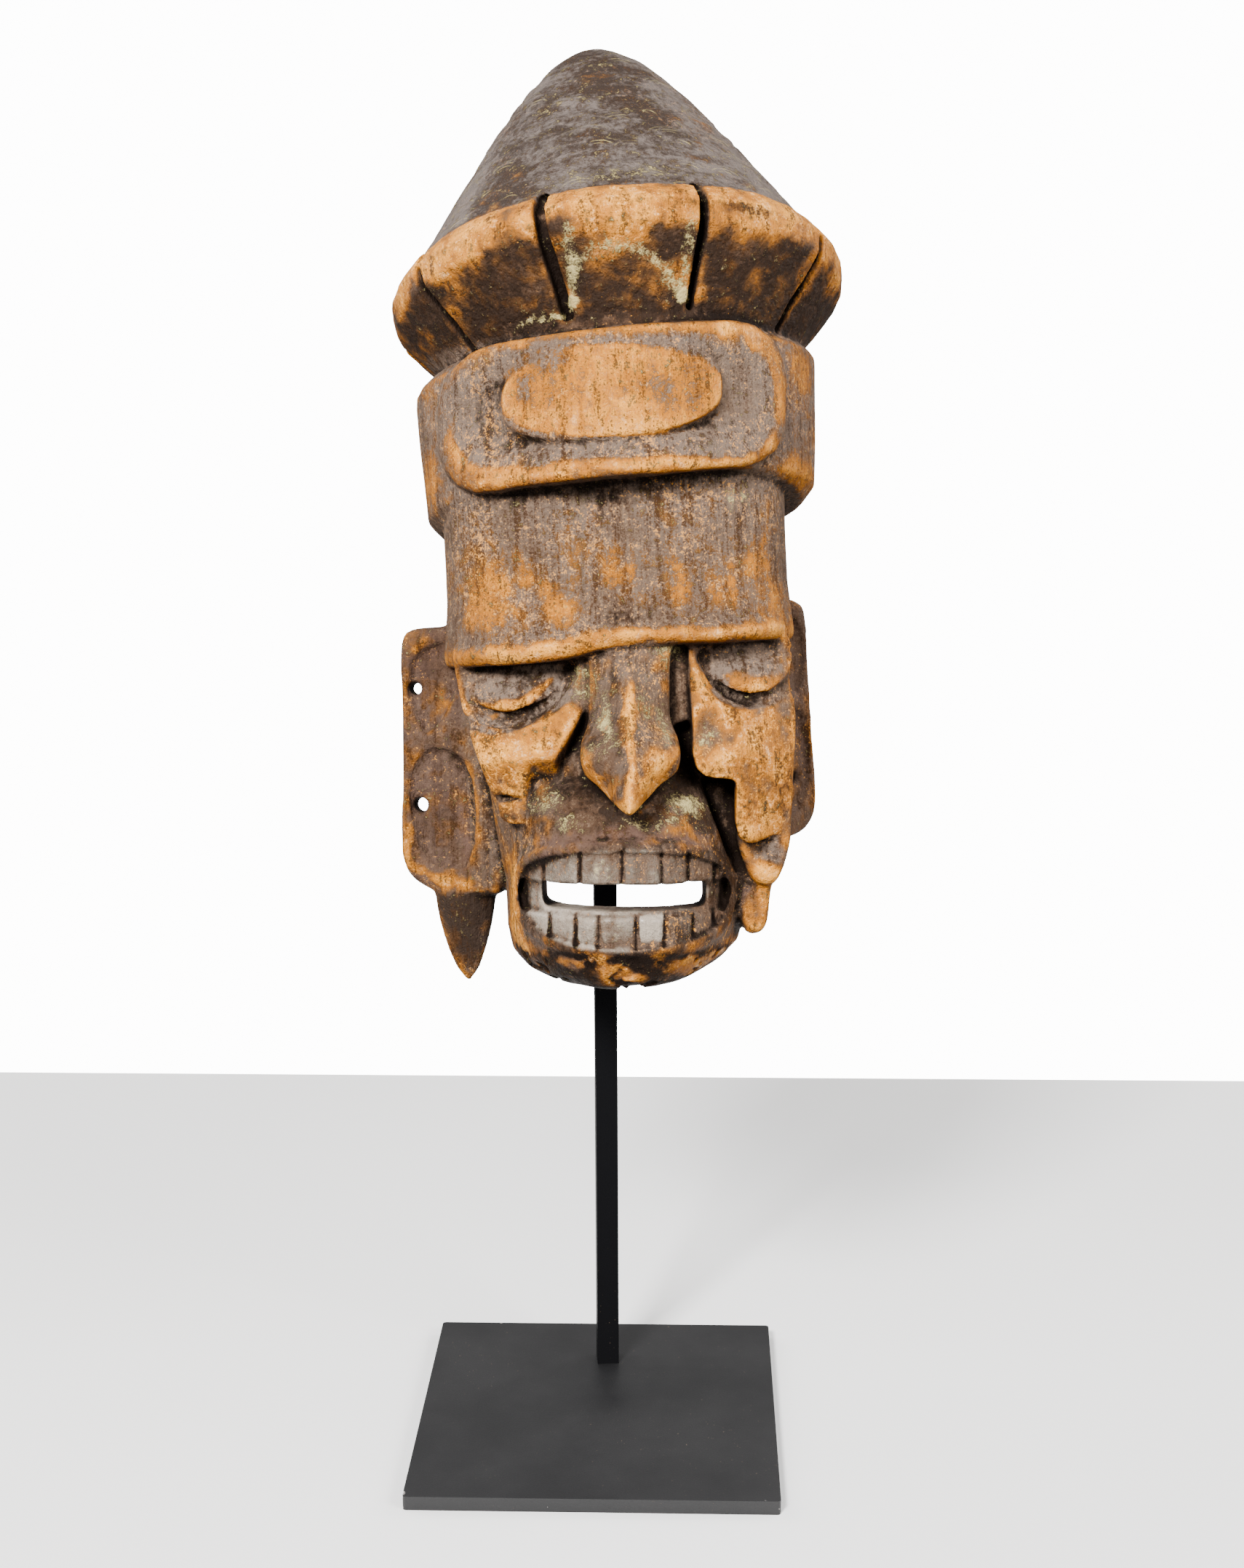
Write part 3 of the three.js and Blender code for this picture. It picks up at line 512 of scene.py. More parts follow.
    def find_teeth(self):
        level = tooth_level(self.x, self.z)
        self.seams = np.zeros(len(level))
        for seams, low, high in ((UPPER_SEAMS, 38, 56), (LOWER_SEAMS, 13, 29)):
            row = ease(level, low, low + 1) * (1 - ease(level, high - 1, high)) * self.mouth
            for at in seams:
                self.seams += row * seam(self.x, self.z, at, 0.7)


def ochre_map(on):
    """Where the patina is worn down to bare wood."""
    x, y, z = on.x, on.y, on.z
    ochre = np.full(len(x), 0.17)
    ochre += on.hat * (-0.2 + 0.36 * (1 - ease(on.height, 2, 6)) + 0.1 * on.lumps)
    ochre += on.brim * (0.5 * on.upper - 0.02 + 0.14 * on.lumps)
    ochre += on.oval * (0.44 + on.blots(OVAL_WORN)) - on.moat * 0.16
    rim = on.band * ease(on.corner, 0.6, 0.75) * (1 - ease(on.corner, 1.02, 1.12)) * ease(-y, 30, 42)
    ochre += rim * (on.blots(PANEL_RIM_WORN) + 0.34 * on.smear(PANEL_LOWER_EDGE, 3.6))
    ochre += rim * 0.18 * ease(z, 246, 250)
    ochre += on.band * ease(on.corner, 1.05, 1.2) * on.blots(BAND_SIDES_WORN)
    low = 0.4 * on.crest + 0.08 * (1 - ease(z, 150, 178)) - 0.05
    ochre += on.fore * on.front * (low + on.blots(FOREHEAD_WORN))
    ochre += on.cheeks * 0.26 * spot(x, z, (-36, 92), (28, 24), 0.5)
    ochre += on.cheeks * 0.28 * spot(x, z, (50, 86), (26, 36), 0.4)
    ochre += on.cheeks * on.blots(CHEEKS_WORN)
    lid_edges = on.smear(LEFT_LID_CRUST, 3.4) + on.smear(RIGHT_LID_CRUST, 4.2)
    ochre += on.face * on.forward * (0.42 * lid_edges * on.lids - 0.3 * on.lids - 0.26 * on.slopes)
    ridge = (1 - ease(np.abs(on.uneven_x - 5.2), 0.6, 2.4)) * ease(-z, -120, -112)
    ochre += on.nose * (-0.12 + 0.5 * ridge + 0.34 * on.smear(NOSE_LEFT_EDGE, 4.5))
    ochre += on.nose * (0.5 * on.smear(NOSE_RIGHT_EDGE, 5.5) + on.blots(NOSE_WORN))
    ochre += 0.16 * on.lip_edge - 0.12 * on.lip - 0.2 * on.mouth - 0.14 * on.lips
    ochre += 0.34 * on.face * on.smear(JAW_EDGE, 5) * ease(-y, 20, 36)
    ochre += on.chin * (0.3 * np.clip(on.flames, 0, 1) + 0.1)
    ochre += on.ear_left * (0.34 * on.smear(EAR_LOWER_EDGE, 4.5) + 0.26 * on.smear(EAR_FOLD, 3))
    ochre += on.ear_left * on.blots(EAR_WORN)
    ochre += on.tusk * (0.1 * on.smear(TUSK_EDGE, 3) + on.blots(TUSK_TIP_WORN) - 0.22)
    ochre += on.drops * (on.blots(DROPS_WORN) + 0.1)
    ochre *= 1 - 0.45 * on.behind
    ochre = np.where(ochre > FULLY_WORN, FULLY_WORN + (ochre - FULLY_WORN) * 0.55, ochre)
    edges = 0.24 - 0.1 * on.hat - 0.18 * on.lips * ease(z, 16, 24) - 0.14 * on.ears - 0.1 * on.brim
    return ochre + on.raised * edges * (1 - 0.5 * on.behind) - on.sunk * 0.34


def dirt_and_shade_map(on):
    """Where dirt has gathered, with a painted shadow along the forehead's top under the headband."""
    x, y, z = on.x, on.y, on.z
    dirt_and_shade = 0.62 * on.sunk * (1 - 0.5 * on.hat) * (1 - 0.4 * on.mouth) * (1 - 0.65 * on.ears)
    ring = on.lips - spot(x, z, MOUTH, (41.5, 19.5), 0.12) * ease(-y, 45, 55)
    away = np.hypot((x - MOUTH[0]) / 50, (z - MOUTH[1]) / 27)
    dirt_and_shade += 0.3 * np.clip(ring, 0, 1) * ease(-y, 50, 58) * (1 - ease(away, 0.86, 0.94))
    dirt_and_shade += 0.5 * on.seams + on.mouth * 0.2 * (1 - ease(np.abs(tooth_level(x, z) - MOUTH[1]), 5, 9))
    dirt_and_shade += on.chin * (0.68 - 0.75 * np.clip(on.flames - 0.1, 0, 1)) + 0.25 * on.tusk * ease(z, 4, 16)
    dirt_and_shade += on.brim * 0.24 * (1 - on.upper) * (0.7 + 0.6 * on.lumps)
    dirt_and_shade -= 0.2 * on.face * on.forward * np.clip(on.lids + on.slopes, 0, 1)
    # Dirt spots on the forehead, and a painted shadow along its top under the headband
    dirt_and_shade += on.fore * (on.blots(FOREHEAD_GRIME) + 0.3 * ease(z, 178, 188) * on.forward)
    dirt_and_shade += on.lip * on.blots(LIP_GRIME) + on.band * on.blots(BAND_GRIME)
    dirt_and_shade += on.ear_left * on.blots(EAR_GRIME)
    return dirt_and_shade + 1.2 * on.hat * hat_crack(x, z, on.angle, 0.9)


def crust_map(on):
    """Where dark crust still sits on worn wood."""
    x, z = on.x, on.z
    crust = on.brim * (0.12 + 0.14 * (1 - on.upper) + spots(on.angle, on.height, BRIM_CRUST))
    crust += on.brim * on.segment * 0.3 * on.line(BRIM_FRONT, 3)
    crust += 0.14 * on.fore + 0.24 * on.cheeks + 0.16 * on.oval + 0.1 * on.nose + 0.26 * on.drops
    left = 0.3 * (1 - ease(z + 3 * on.lumps, 70, 88)) * ease(-x, 12, 20) + 0.2 * ease(-x, 46, 58)
    right = 0.24 * (1 - ease(z, 62, 84)) * ease(x, 30, 40) + 0.22 * ease(x, 58, 68)
    return crust + on.cheeks * (left + right + 0.2 * on.smear(RIGHT_CHEEK_EDGE, 5))


def chalk_and_highlight_map(on):
    """Where pale lime and residue cling, with painted highlights on the nose."""
    chalk_and_highlight = on.segment * (on.lines(BRIM_CHALK_LINES) + on.dots(SLOT_CHALK))
    chalk_and_highlight += on.fore * (on.lines(FOREHEAD_CHALK_LINES) + 0.4 * on.smear(FOREHEAD_SCRATCH, 1.6))
    chalk_and_highlight += on.nose * on.blots(NOSE_CHALK_AND_HIGHLIGHTS) + on.face * on.forward * on.blots(FACE_CHALK)
    chalk_and_highlight += on.lip * on.blots(LIP_CHALK) + on.mouth * on.dots(TEETH_CHALK)
    low = spot(on.angle, on.height, (4, 10), (30, 7), 0.8)
    return chalk_and_highlight + on.hat * (0.2 * ease(on.fine, 0.03, 0.12) + 0.2 * low)


def red_map(on):
    """Where the patina is red brown."""
    red = 0.4 * on.ears + 0.4 * on.drops * (1 - ease(on.z, 32, 36)) + 0.55 * on.lip_edge
    red += on.ear_left * on.blots(EAR_RED) + 0.15 * on.tusk * on.smear(TUSK_FACE, 6) + 0.5 * on.chin
    red += 0.3 * on.band * ease(on.x, 62, 72)
    return red + 0.25 * on.fore * spot(on.x, on.z, (0, 183), (18, 9), 0.8)


def polish_map(on):
    """Where the teeth are rubbed bright, each of them in its own degree."""
    x, z = on.x, on.z
    upper, lower = np.searchsorted(UPPER_SEAMS, x), 20 + np.searchsorted(LOWER_SEAMS, x)
    own = np.sin(12.9 * np.where(tooth_level(x, z) > 35, upper, lower) + 1.7)
    rubbed = (0.3 + 0.34 * own + 0.2 * on.raised - 0.5 * on.sunk) * (1 - 0.4 * ease(z, 34, 38))
    brightest = ease(x, 5.5, 6.5) * (1 - ease(x, 15, 16)) * (1 - ease(z, 27, 29)) * ease(z, 17, 19)
    return on.mouth * (rubbed + 0.75 * brightest) - 0.5 * on.seams


def grey_map(on):
    """Where the patina is grey more than brown."""
    grey = 0.8 * on.hat + 0.6 * on.band + 0.45 * on.fore + 0.35 * on.face + 0.1 * on.tusk - 0.3 * on.brim
    grey += 0.4 * on.drops * ease(on.z, 42, 45) - 0.3 * on.chin
    return grey + 0.5 * (on.lids + on.slopes * on.forward * on.face)


def deep_map(on):
    """Where the patina is darkest, with painted shade on the hat's front middle, the brim's underside and
    the nose's left side.
    """
    x, z = on.x, on.z
    # Darker patina with painted shade over the hat's front middle, which leaves its flanks lighter
    middle = 1 - ease(np.abs(on.angle + 8 + 14 * on.lumps), 22, 62)
    deep = on.hat * (0.06 + 0.46 * middle) + on.tusk * ease(z + 3 * on.lumps, -2, 6) + 0.3 * on.chin
    # The brim's lower, downward-facing slope: darker patina and painted shade
    deep += 0.2 * on.ears + 0.8 * on.brim * (1 - on.upper) + 0.45 * on.lip + 0.2 * on.drops
    deep += 0.1 * on.lids - 0.1 * on.fore + 0.45 * on.lips * (1 - 0.5 * on.mouth)
    # Painted shade on the nose's left side, and a lighter right side
    deep += on.nose * (0.5 * ease(-x, -4, 1) * (0.7 + 0.6 * on.lumps) - 0.1 * ease(x, 6, 10))
    bowls = spot(x, z, (-76, 62), (9, 20), 0.6) + spot(x, z, (-76, 117), (8, 14), 0.6)
    return deep + 0.3 * on.ear_left * bowls


def wear_map(skin):
    """Paints what the material reads: wear, dirt, chalk, polish and the patina's own shades, with painted
    shade and highlights among them.
    """
    on = Regions(skin)
    flake = on.fore * (1 - 0.6 * on.crest) + on.oval + 0.6 * on.band + 0.5 * on.hat
    flake += 0.12 * on.face + 0.1 * on.brim
    wax = 0.25 * on.nose - 0.2 * on.brim * on.upper + on.dots(WAX_SPOTS) * on.forward
    for name, values in (
        ("ochre", ochre_map(on)),
        ("dirt_and_shade", dirt_and_shade_map(on)),
        ("crust", crust_map(on)),
        ("chalk_and_highlight", chalk_and_highlight_map(on)),
        ("red", red_map(on)),
        ("polish", polish_map(on)),
        ("grey", grey_map(on)),
        ("wax", wax),
        ("flake", flake),
        ("deep", deep_map(on)),
        ("swept", np.maximum(on.hat, on.brim)),
        ("hat", on.hat),
    ):
        skin.paint(name, values)
    unrolled = np.stack([round_hat(on.radius, on.angle), on.height, on.height * 0], axis=1)
    skin.paint_vector("place", skin.points / 1000)
    skin.paint_vector("round", unrolled / 1000)


def occlusion_shade(mesh, solid, reach=0.045, count=36, lift=0.002, lowest=0.15):
    """How far each point is hemmed in by the solid round it, from 0 in the open to 1: ambient occlusion,
    which the material paints as shade in hollows and gaps.
    """
    tree = BVHTree.FromPolygons([v.co for v in solid.vertices], [f.vertices for f in solid.polygons])
    golden = math.pi * (3 - math.sqrt(5))
    rays = []
    for i in range(count):
        rise = 1 - (2 * i + 1) / count
        across = math.sqrt(1 - rise * rise)
        rays.append(Vector((across * math.cos(golden * i), across * math.sin(golden * i), rise)))
    closed = np.zeros(len(mesh.vertices))
    for i, point in enumerate(mesh.vertices):
        start = point.co + point.normal * lift
        near, total = 0.0, 1e-6
        for ray in rays:
            weight = ray.dot(point.normal)
            if weight < lowest:
                continue
            total += weight
            away = tree.ray_cast(start, ray, reach)[3]
            if away is not None:
                near += weight * (1 - away / reach)
        closed[i] = near / total
    return closed


# Materials


class Shade:
    """A socket that can be reckoned with: each step adds a Math node."""

    def __init__(self, graph, socket):
        self.graph = graph
        self.socket = socket

    def math(self, operation, *values):
        return self.graph.node("ShaderNodeMath", {"operation": operation}, dict(enumerate(values)))

    def __add__(self, other):
        return self.math("ADD", self, other)

    __radd__ = __add__

    def __sub__(self, other):
        return self.math("SUBTRACT", self, other)

    def __rsub__(self, other):
        return self.math("SUBTRACT", other, self)

    def __mul__(self, other):
        return self.math("MULTIPLY", self, other)

    __rmul__ = __mul__

    def rise(self, low, high):
        """Rises smoothly from 0 at low to 1 at high."""
        sockets = {"Value": self, "From Min": low, "From Max": high}
        return self.graph.node("ShaderNodeMapRange", {"interpolation_type": "SMOOTHSTEP"}, sockets)


class Graph:
    """The nodes of one material, or of the world."""

    def __init__(self, owner):
        owner.use_nodes = True
        self.owner = owner
        self.tree = owner.node_tree
        self.tree.nodes.clear()

    def node(self, kind, settings=None, inputs=None, output=0):
        """Adds a node, sets it up, fills or links its sockets and gives one of its outputs."""
        made = self.tree.nodes.new(kind)
        for key, value in (settings or {}).items():
            setattr(made, key, value)
        for key, value in (inputs or {}).items():
            if isinstance(value, Shade):
                self.tree.links.new(value.socket, made.inputs[key])
            else:
                made.inputs[key].default_value = value
        return Shade(self, made.outputs[output]) if made.outputs else None

    def painted(self, name, output="Fac"):
        """A number kept on the mesh, or coordinates."""
        return self.node("ShaderNodeAttribute", {"attribute_name": name}, output=output)

    def scallops(self, place, where):
        """Thin pale arcs left by a gouge, in scattered cells round the hat."""
        spread = self.stretched(place, (1 / 0.019, 1 / 0.011, 0.0))
        cells = {"Vector": spread, "Scale": 1.0, "Randomness": 0.9}
        settings = {"voronoi_dimensions": "2D"}
        away = self.node("ShaderNodeTexVoronoi", settings, cells, output="Distance")
        tint = self.node("ShaderNodeTexVoronoi", settings, cells, output="Color")
        centre = self.node("ShaderNodeTexVoronoi", settings, cells, output="Position")
        offset = self.node("ShaderNodeVectorMath", {"operation": "SUBTRACT"}, {0: spread, 1: centre})
        above = self.node("ShaderNodeSeparateXYZ", None, {0: offset}, output=1)
        chance = self.node("ShaderNodeSeparateColor", None, {0: tint}, output=0)
        wave = (away * 42.0).math("SINE", away * 42.0).rise(0.3, 1.0)
        patch = self.noise(place, 60, 3, 0.6).rise(0.42, 0.55)
        near = 1 - away.rise(0.4, 0.55)
        return wave * near * above.rise(0.02, 0.25) * chance.rise(0.3, 0.5) * patch * where

    def stretched(self, place, scale):
        """Coordinates multiplied along each axis."""
        return self.node("ShaderNodeVectorMath", {"operation": "MULTIPLY"}, {0: place, 1: scale})

    def noise(self, place, scale, detail, rough, twist=0.0):
        """Noise from 0 to 1, mostly about a half."""
        sockets = {"Vector": place, "Scale": scale, "Detail": detail}
        sockets.update({"Roughness": rough, "Distortion": twist})
        return self.node("ShaderNodeTexNoise", None, sockets)

    def cloud(self, place, scale, detail, rough, twist=0.0):
        """Noise spread evenly about 0, mostly from -1 to 1."""
        return (self.noise(place, scale, detail, rough, twist) - 0.5) * 4.0

    def mix(self, low, high, factor):
        """One colour over another."""
        low = low if isinstance(low, Shade) else (*low, 1)
        high = high if isinstance(high, Shade) else (*high, 1)
        return self.node("ShaderNodeMix", {"data_type": "RGBA"}, {0: factor, 6: low, 7: high}, output=2)

    def finish(self, colour, roughness, height, depth, constants=None):
        """The surface itself, with its fine relief."""
        normal = self.node("ShaderNodeBump", None, {"Height": height, "Distance": depth, "Strength": 1.0})
        sockets = {"Base Color": colour, "Roughness": roughness, "Normal": normal, **(constants or {})}
        shader = self.node("ShaderNodeBsdfPrincipled", None, sockets)
        self.node("ShaderNodeOutputMaterial", None, {"Surface": shader})
        return self.owner


def worn_wood(colours):
    """Carved wood under a dark patina, worn to ochre on what stands out."""
    g = Graph(bpy.data.materials.new("worn carved wood"))
    place = g.painted("place", "Vector")
    turned = g.painted("round", "Vector")
    along_grain = g.stretched(place, (1.0, 1.0, 0.07))
    broad = g.cloud(place, 34, 4, 0.62)
    smudge = g.cloud(place, 105, 3, 0.5, 0.4)
    patchy = g.cloud(place, 130, 6, 0.7, 0.6)
    fine = g.cloud(place, 430, 4, 0.7, 0.3)
    speck = g.cloud(place, 1300, 2, 0.6)
    grain = g.cloud(along_grain, 800, 4, 0.65, 0.2)
    streak = g.cloud(along_grain, 210, 4, 0.6, 0.3)
    swirl = g.cloud(g.stretched(turned, (0.3, 1.0, 1.0)), 150, 5, 0.62, 0.8)
    polish = g.painted("polish")
    hat = g.painted("hat")
    swept = g.painted("swept")
    painted_occlusion = g.painted("occlusion_shade")
    deep = g.painted("deep")
    crisp = g.painted("flake").rise(0.0, 1.0)
    grit = fine * 0.5 + speck * 0.45 + grain * 0.4 * (1 - hat) + patchy * 0.3

    # The patina: brown to grey, with darker blotches, painted shade in hollows and on shaded sides, a
    # pale bloom and some red
    tone = g.painted("grey") + broad * 0.4 + patchy * 0.3
    patina = g.mix(colours.brown, colours.mauve, tone.rise(0.0, 0.75))
    patina = g.mix(patina, colours.slate, hat * 0.85)
    blotch = patchy * (0.65 - hat * 0.4) + streak * 0.35 * (1 - swept)
    blotch = blotch + swirl * swept * 0.28 + broad * 0.45
    # Darker patina, with painted shade from occlusion and from the shaded sides in deep
    darker = deep + blotch + fine * 0.35 + painted_occlusion * 0.75 - 0.06
    patina = g.mix(patina, colours.shadow, darker.rise(-0.05, 0.65) * 0.88)
    bloom = 0 - blotch * 0.5 - grit * 0.6 - deep * 0.5
    patina = g.mix(patina, colours.dust, bloom.rise(0.05, 0.8) * 0.32)
    reddened = g.painted("red") + broad * 0.25 + patchy * 0.15
    patina = g.mix(patina, colours.red, reddened.rise(0.1, 0.7) * 0.7)

    # Bare wood where it is worn: flaked with a crisp edge, or rubbed with a soft one, with painted
    # highlights on it
    rough_edge = patchy * 0.28 * (1 - swept * 0.5) + fine * 0.26 + speck * 0.16 + grain * 0.08
    soft_edge = smudge * 0.26 + patchy * 0.1 + grit * 0.06
    breakup = broad * 0.18 + rough_edge * crisp + soft_edge * (1 - crisp) + swirl * swept * 0.14
    worn = g.painted("ochre") + breakup - painted_occlusion * 0.3 + 0.03
    blur = 0.1 - crisp * 0.09
    colour = g.mix(patina, colours.tan, worn.rise(0.2 - blur, 0.34 + blur) * 0.9)
    colour = g.mix(colour, colours.ochre, worn.rise(0.35 - blur, 0.47 + blur))
    colour = g.mix(colour, colours.bright, worn.rise(0.5 - blur, 0.84 + blur) * 0.95)
    flecks = broad * 0.3 - fine * 0.6 - speck * 0.5 - painted_occlusion * 0.5 - deep * 0.4
    colour = g.mix(colour, colours.bright, flecks.rise(0.2, 0.55) * (1 - hat * 0.8) * (1 - polish) * 0.55)
    lines = grit * (crisp * 0.3 + 0.75) + streak * 0.35 + smudge * 0.35 * (1 - crisp)
    colour = g.mix(colour, colours.umber, lines.rise(0.0, 0.55) * 0.9 * (1 - hat * 0.4))
    # Painted highlights: pale glints on the worn wood, fewer in hollows
    painted_glint = 0 - patchy * 0.35 - fine * 0.55 - speck * 0.3 - streak * 0.2 * (1 - swept) - painted_occlusion * 0.4
    colour = g.mix(colour, colours.pale, painted_glint.rise(0.05, 0.75) * worn.rise(0.36, 0.56) * 0.5)

    # What lies on the wood: crust, soot with painted shade in deep gaps, chalk with painted highlights on
    # the nose, and the polish of the teeth
    crust = g.painted("crust") + (patchy * 0.3 + fine * 0.35) * (1 - swept * 0.4)
    crust = crust + swirl * swept * 0.25 - broad * 0.1
    colour = g.mix(colour, colours.shadow, crust.rise(0.3, 0.75) * 0.85)
    # Black grime, with painted shade where occlusion is deep
    soot_and_shade = g.painted("dirt_and_shade") + painted_occlusion.rise(0.38, 0.85) * 0.6 + patchy * 0.2 + fine * 0.15
    soot_and_shade = soot_and_shade.rise(0.22, 0.7)
    colour = g.mix(colour, colours.soot_and_shade, soot_and_shade * 0.98)
    # Chalk and residue, with painted highlights on the nose
    powder_and_highlight = (g.painted("chalk_and_highlight") + patchy * 0.25 + fine * 0.4 + speck * 0.25).rise(0.22, 0.8)
    colour = g.mix(colour, colours.chalk_and_highlight, powder_and_highlight * 0.75)
    scallops = g.scallops(turned, hat) * fine.rise(-0.5, 0.3)
    colour = g.mix(colour, colours.chalk_and_highlight, scallops * 0.45)
    shine = (polish + patchy * 0.2 + fine * 0.15).rise(0.15, 0.85)
    colour = g.mix(colour, colours.silver, shine * 0.7)

    roughness = 0.42 - shine * 0.12 + powder_and_highlight * 0.3 + patchy * 0.1 + fine * 0.08 + soot_and_shade * 0.15
    carved = patchy * 0.5 * (1 - hat * 0.4) + swirl * swept * 0.35 + streak * 0.35 * (1 - swept)
    height = carved + grain * 0.3 * (1 - hat) + fine * 0.4 + speck * 0.12 + powder_and_highlight * 0.15
    wax = shine * 0.6 + g.painted("wax") - soot_and_shade * 0.3 - powder_and_highlight * 0.3 + patchy * 0.15
    gloss = {"Specular IOR Level": 0.04, "Coat Weight": wax.rise(0.1, 1.0) * 0.6, "Coat Roughness": 0.28}
    return g.finish(colour, roughness, height, WOOD_RELIEF, gloss)


def satin_paint(name, colours, half, gloss):
    """Black paint on steel: a fine orange peel, dust and a few bright chips on the plate's rim."""
    g = Graph(bpy.data.materials.new(name))
    place = g.node("ShaderNodeTexCoord", output="Object")
    peel = g.noise(place, 1500, 2, 0.5)
    cloud = g.noise(place, 16, 4, 0.6)
    speck = g.noise(place, 900, 2, 0.5)
    x, y = (g.node("ShaderNodeSeparateXYZ", None, {0: place}, output=i) for i in (0, 1))
    across, along = x.math("ABSOLUTE", x), y.math("ABSOLUTE", y)
    corner = (across * along).rise(half * half * 0.9, half * half)
    rim = across.math("MAXIMUM", across, along).rise(half - 0.0012, half - 0.0002)
    chip = rim * (g.noise(place, 210, 3, 0.6) + corner * 0.12).rise(0.7, 0.74)
    dust = speck.rise(0.7, 0.8) * cloud.rise(0.4, 0.7)
    rubbed = min(1.0, gloss * 1.2)
    colour = g.mix(colours.paint, colours.haze, cloud.rise(0.3, 0.75) * rubbed)
    colour = g.mix(colour, colours.dust, dust * 0.25)
    colour = g.mix(colour, colours.steel, chip)
    roughness = 0.46 + (cloud - 0.5) * 0.16 + dust * 0.2 - chip * 0.1
    return g.finish(colour, roughness, peel, PAINT_RELIEF, {"Specular IOR Level": gloss})


def plain_matte(name, colour):
    """The floor's even pale surface."""
    g = Graph(bpy.data.materials.new(name))
    place = g.node("ShaderNodeTexCoord", output="Object")
    tooth = g.noise(place, 300, 2, 0.5)
    tone = g.mix(colour, [c * 0.97 for c in colour], g.noise(place, 3, 2, 0.5).rise(0.3, 0.7))
    return g.finish(tone, 0.8 + (tooth - 0.5) * 0.1, tooth, FLOOR_RELIEF)


# What a user may change


def colour_property(name, note, value):
    """A colour with its name, its use and its default."""
    return FloatVectorProperty(
        name=name, description=note, default=value, size=3, subtype="COLOR", min=0, max=1
    )


def length_property(name, note, value):
    """A length in metres."""
    return FloatProperty(name=name, description=note, default=value, unit="LENGTH")


def power_property(name, note, value):
    """A lamp's power in watts."""
    return FloatProperty(name=name, description=note, default=value, min=0, unit="POWER")


class CarvingSettings(bpy.types.PropertyGroup):
    """Sizes of the carving's finer relief."""

    cell: length_property("Cell", "Size of the remeshed cells", 0.00095)
    wear_rounds: IntProperty(name="Wear", description="Rounds of smoothing over the cut edges", default=4)
    unevenness: length_property("Unevenness", "Depth of hand work", 0.0005)
    gouge: length_property("Gouge", "Depth of the tool marks on the hat", 0.0007)
    faces: IntProperty(name="Faces", description="Most triangles in the finished mask", default=186000)


class FinishSettings(bpy.types.PropertyGroup):
    """Colours of the patina, the worn wood and the stand."""

    brown: colour_property("Brown", "Dark brown of the patina", (0.066, 0.036, 0.021))
    slate: colour_property("Slate", "Grey of the hat", (0.112, 0.092, 0.082))
    mauve: colour_property("Mauve", "Grey brown of the patina", (0.142, 0.099, 0.073))
    shadow: colour_property("Shadow", "Darkest patches of the patina", (0.018, 0.0105, 0.007))
    dust: colour_property("Dust", "Pale bloom on dark surfaces", (0.36, 0.25, 0.165))
    red: colour_property("Red", "Red brown of the ears", (0.115, 0.064, 0.047))
    tan: colour_property("Tan", "Half-worn wood", (0.15, 0.064, 0.019))
    ochre: colour_property("Ochre", "Bare worn wood", (0.36, 0.12, 0.01))
    bright: colour_property("Bright", "Cleanest bare wood", (0.76, 0.315, 0.042))
    # Colour of the painted highlights on worn wood
    pale: colour_property("Pale", "Rubbed highlights", (0.86, 0.6, 0.35))
    umber: colour_property("Umber", "Dark grain in bare wood", (0.035, 0.015, 0.006))
    # Also the colour of painted shade in deep gaps
    soot_and_shade: colour_property("Soot", "Grime in the hollows", (0.008, 0.0045, 0.003))
    # Also the colour of the painted highlights on the nose
    chalk_and_highlight: colour_property("Chalk", "Old lime and residue", (0.56, 0.45, 0.19))
    silver: colour_property("Silver", "Polished teeth", (0.42, 0.35, 0.275))
    paint: colour_property("Paint", "Black paint of the stand", (0.004, 0.004, 0.0045))
    haze: colour_property("Haze", "Rubbed paint of the stand", (0.013, 0.0125, 0.013))
    steel: colour_property("Steel", "Bare metal in a chip", (0.45, 0.42, 0.4))
    edge: length_property("Edge", "Rounding of the stand's edges", 0.0006)


class StageSettings(bpy.types.PropertyGroup):
    """The floor, the light and the camera."""

    floor: colour_property("Floor", "Colour of the floor", (0.86, 0.85, 0.84))
    sky: FloatProperty(name="Sky", description="Strength of the light from above", default=0.6, min=0)
    backdrop: FloatProperty(name="Backdrop", description="Brightness of the backdrop", default=14, min=0)
    key: power_property("Key", "Power of the main light", 70)
    fill: power_property("Fill", "Power of the second light", 20)
    rim: power_property("Rim", "Power of the lights at the back", 14)
    reach: length_property("Reach", "Half width of the floor", 0.42)
    eye: FloatVectorProperty(
        name="Eye",
        description="Place of the camera",
        default=(0.03842, -0.87517, 0.48461),
        size=3,
        unit="LENGTH",
    )
    aim: FloatVectorProperty(
        name="Aim",
        description="Camera's turn to the left, dip and roll, in degrees",
        default=(1.785, 12.957, -0.223),
        size=3,
    )
    focal: FloatProperty(
        name="Focal", description="Focal length over image height", default=3036.65 / 2156, min=0.1
    )


# Operators

# Where the lamps aim, in metres, and the height of the camera's film in millimetres
MASK_MIDDLE = Vector((0, 0, 0.38))
FILM_HEIGHT = 36


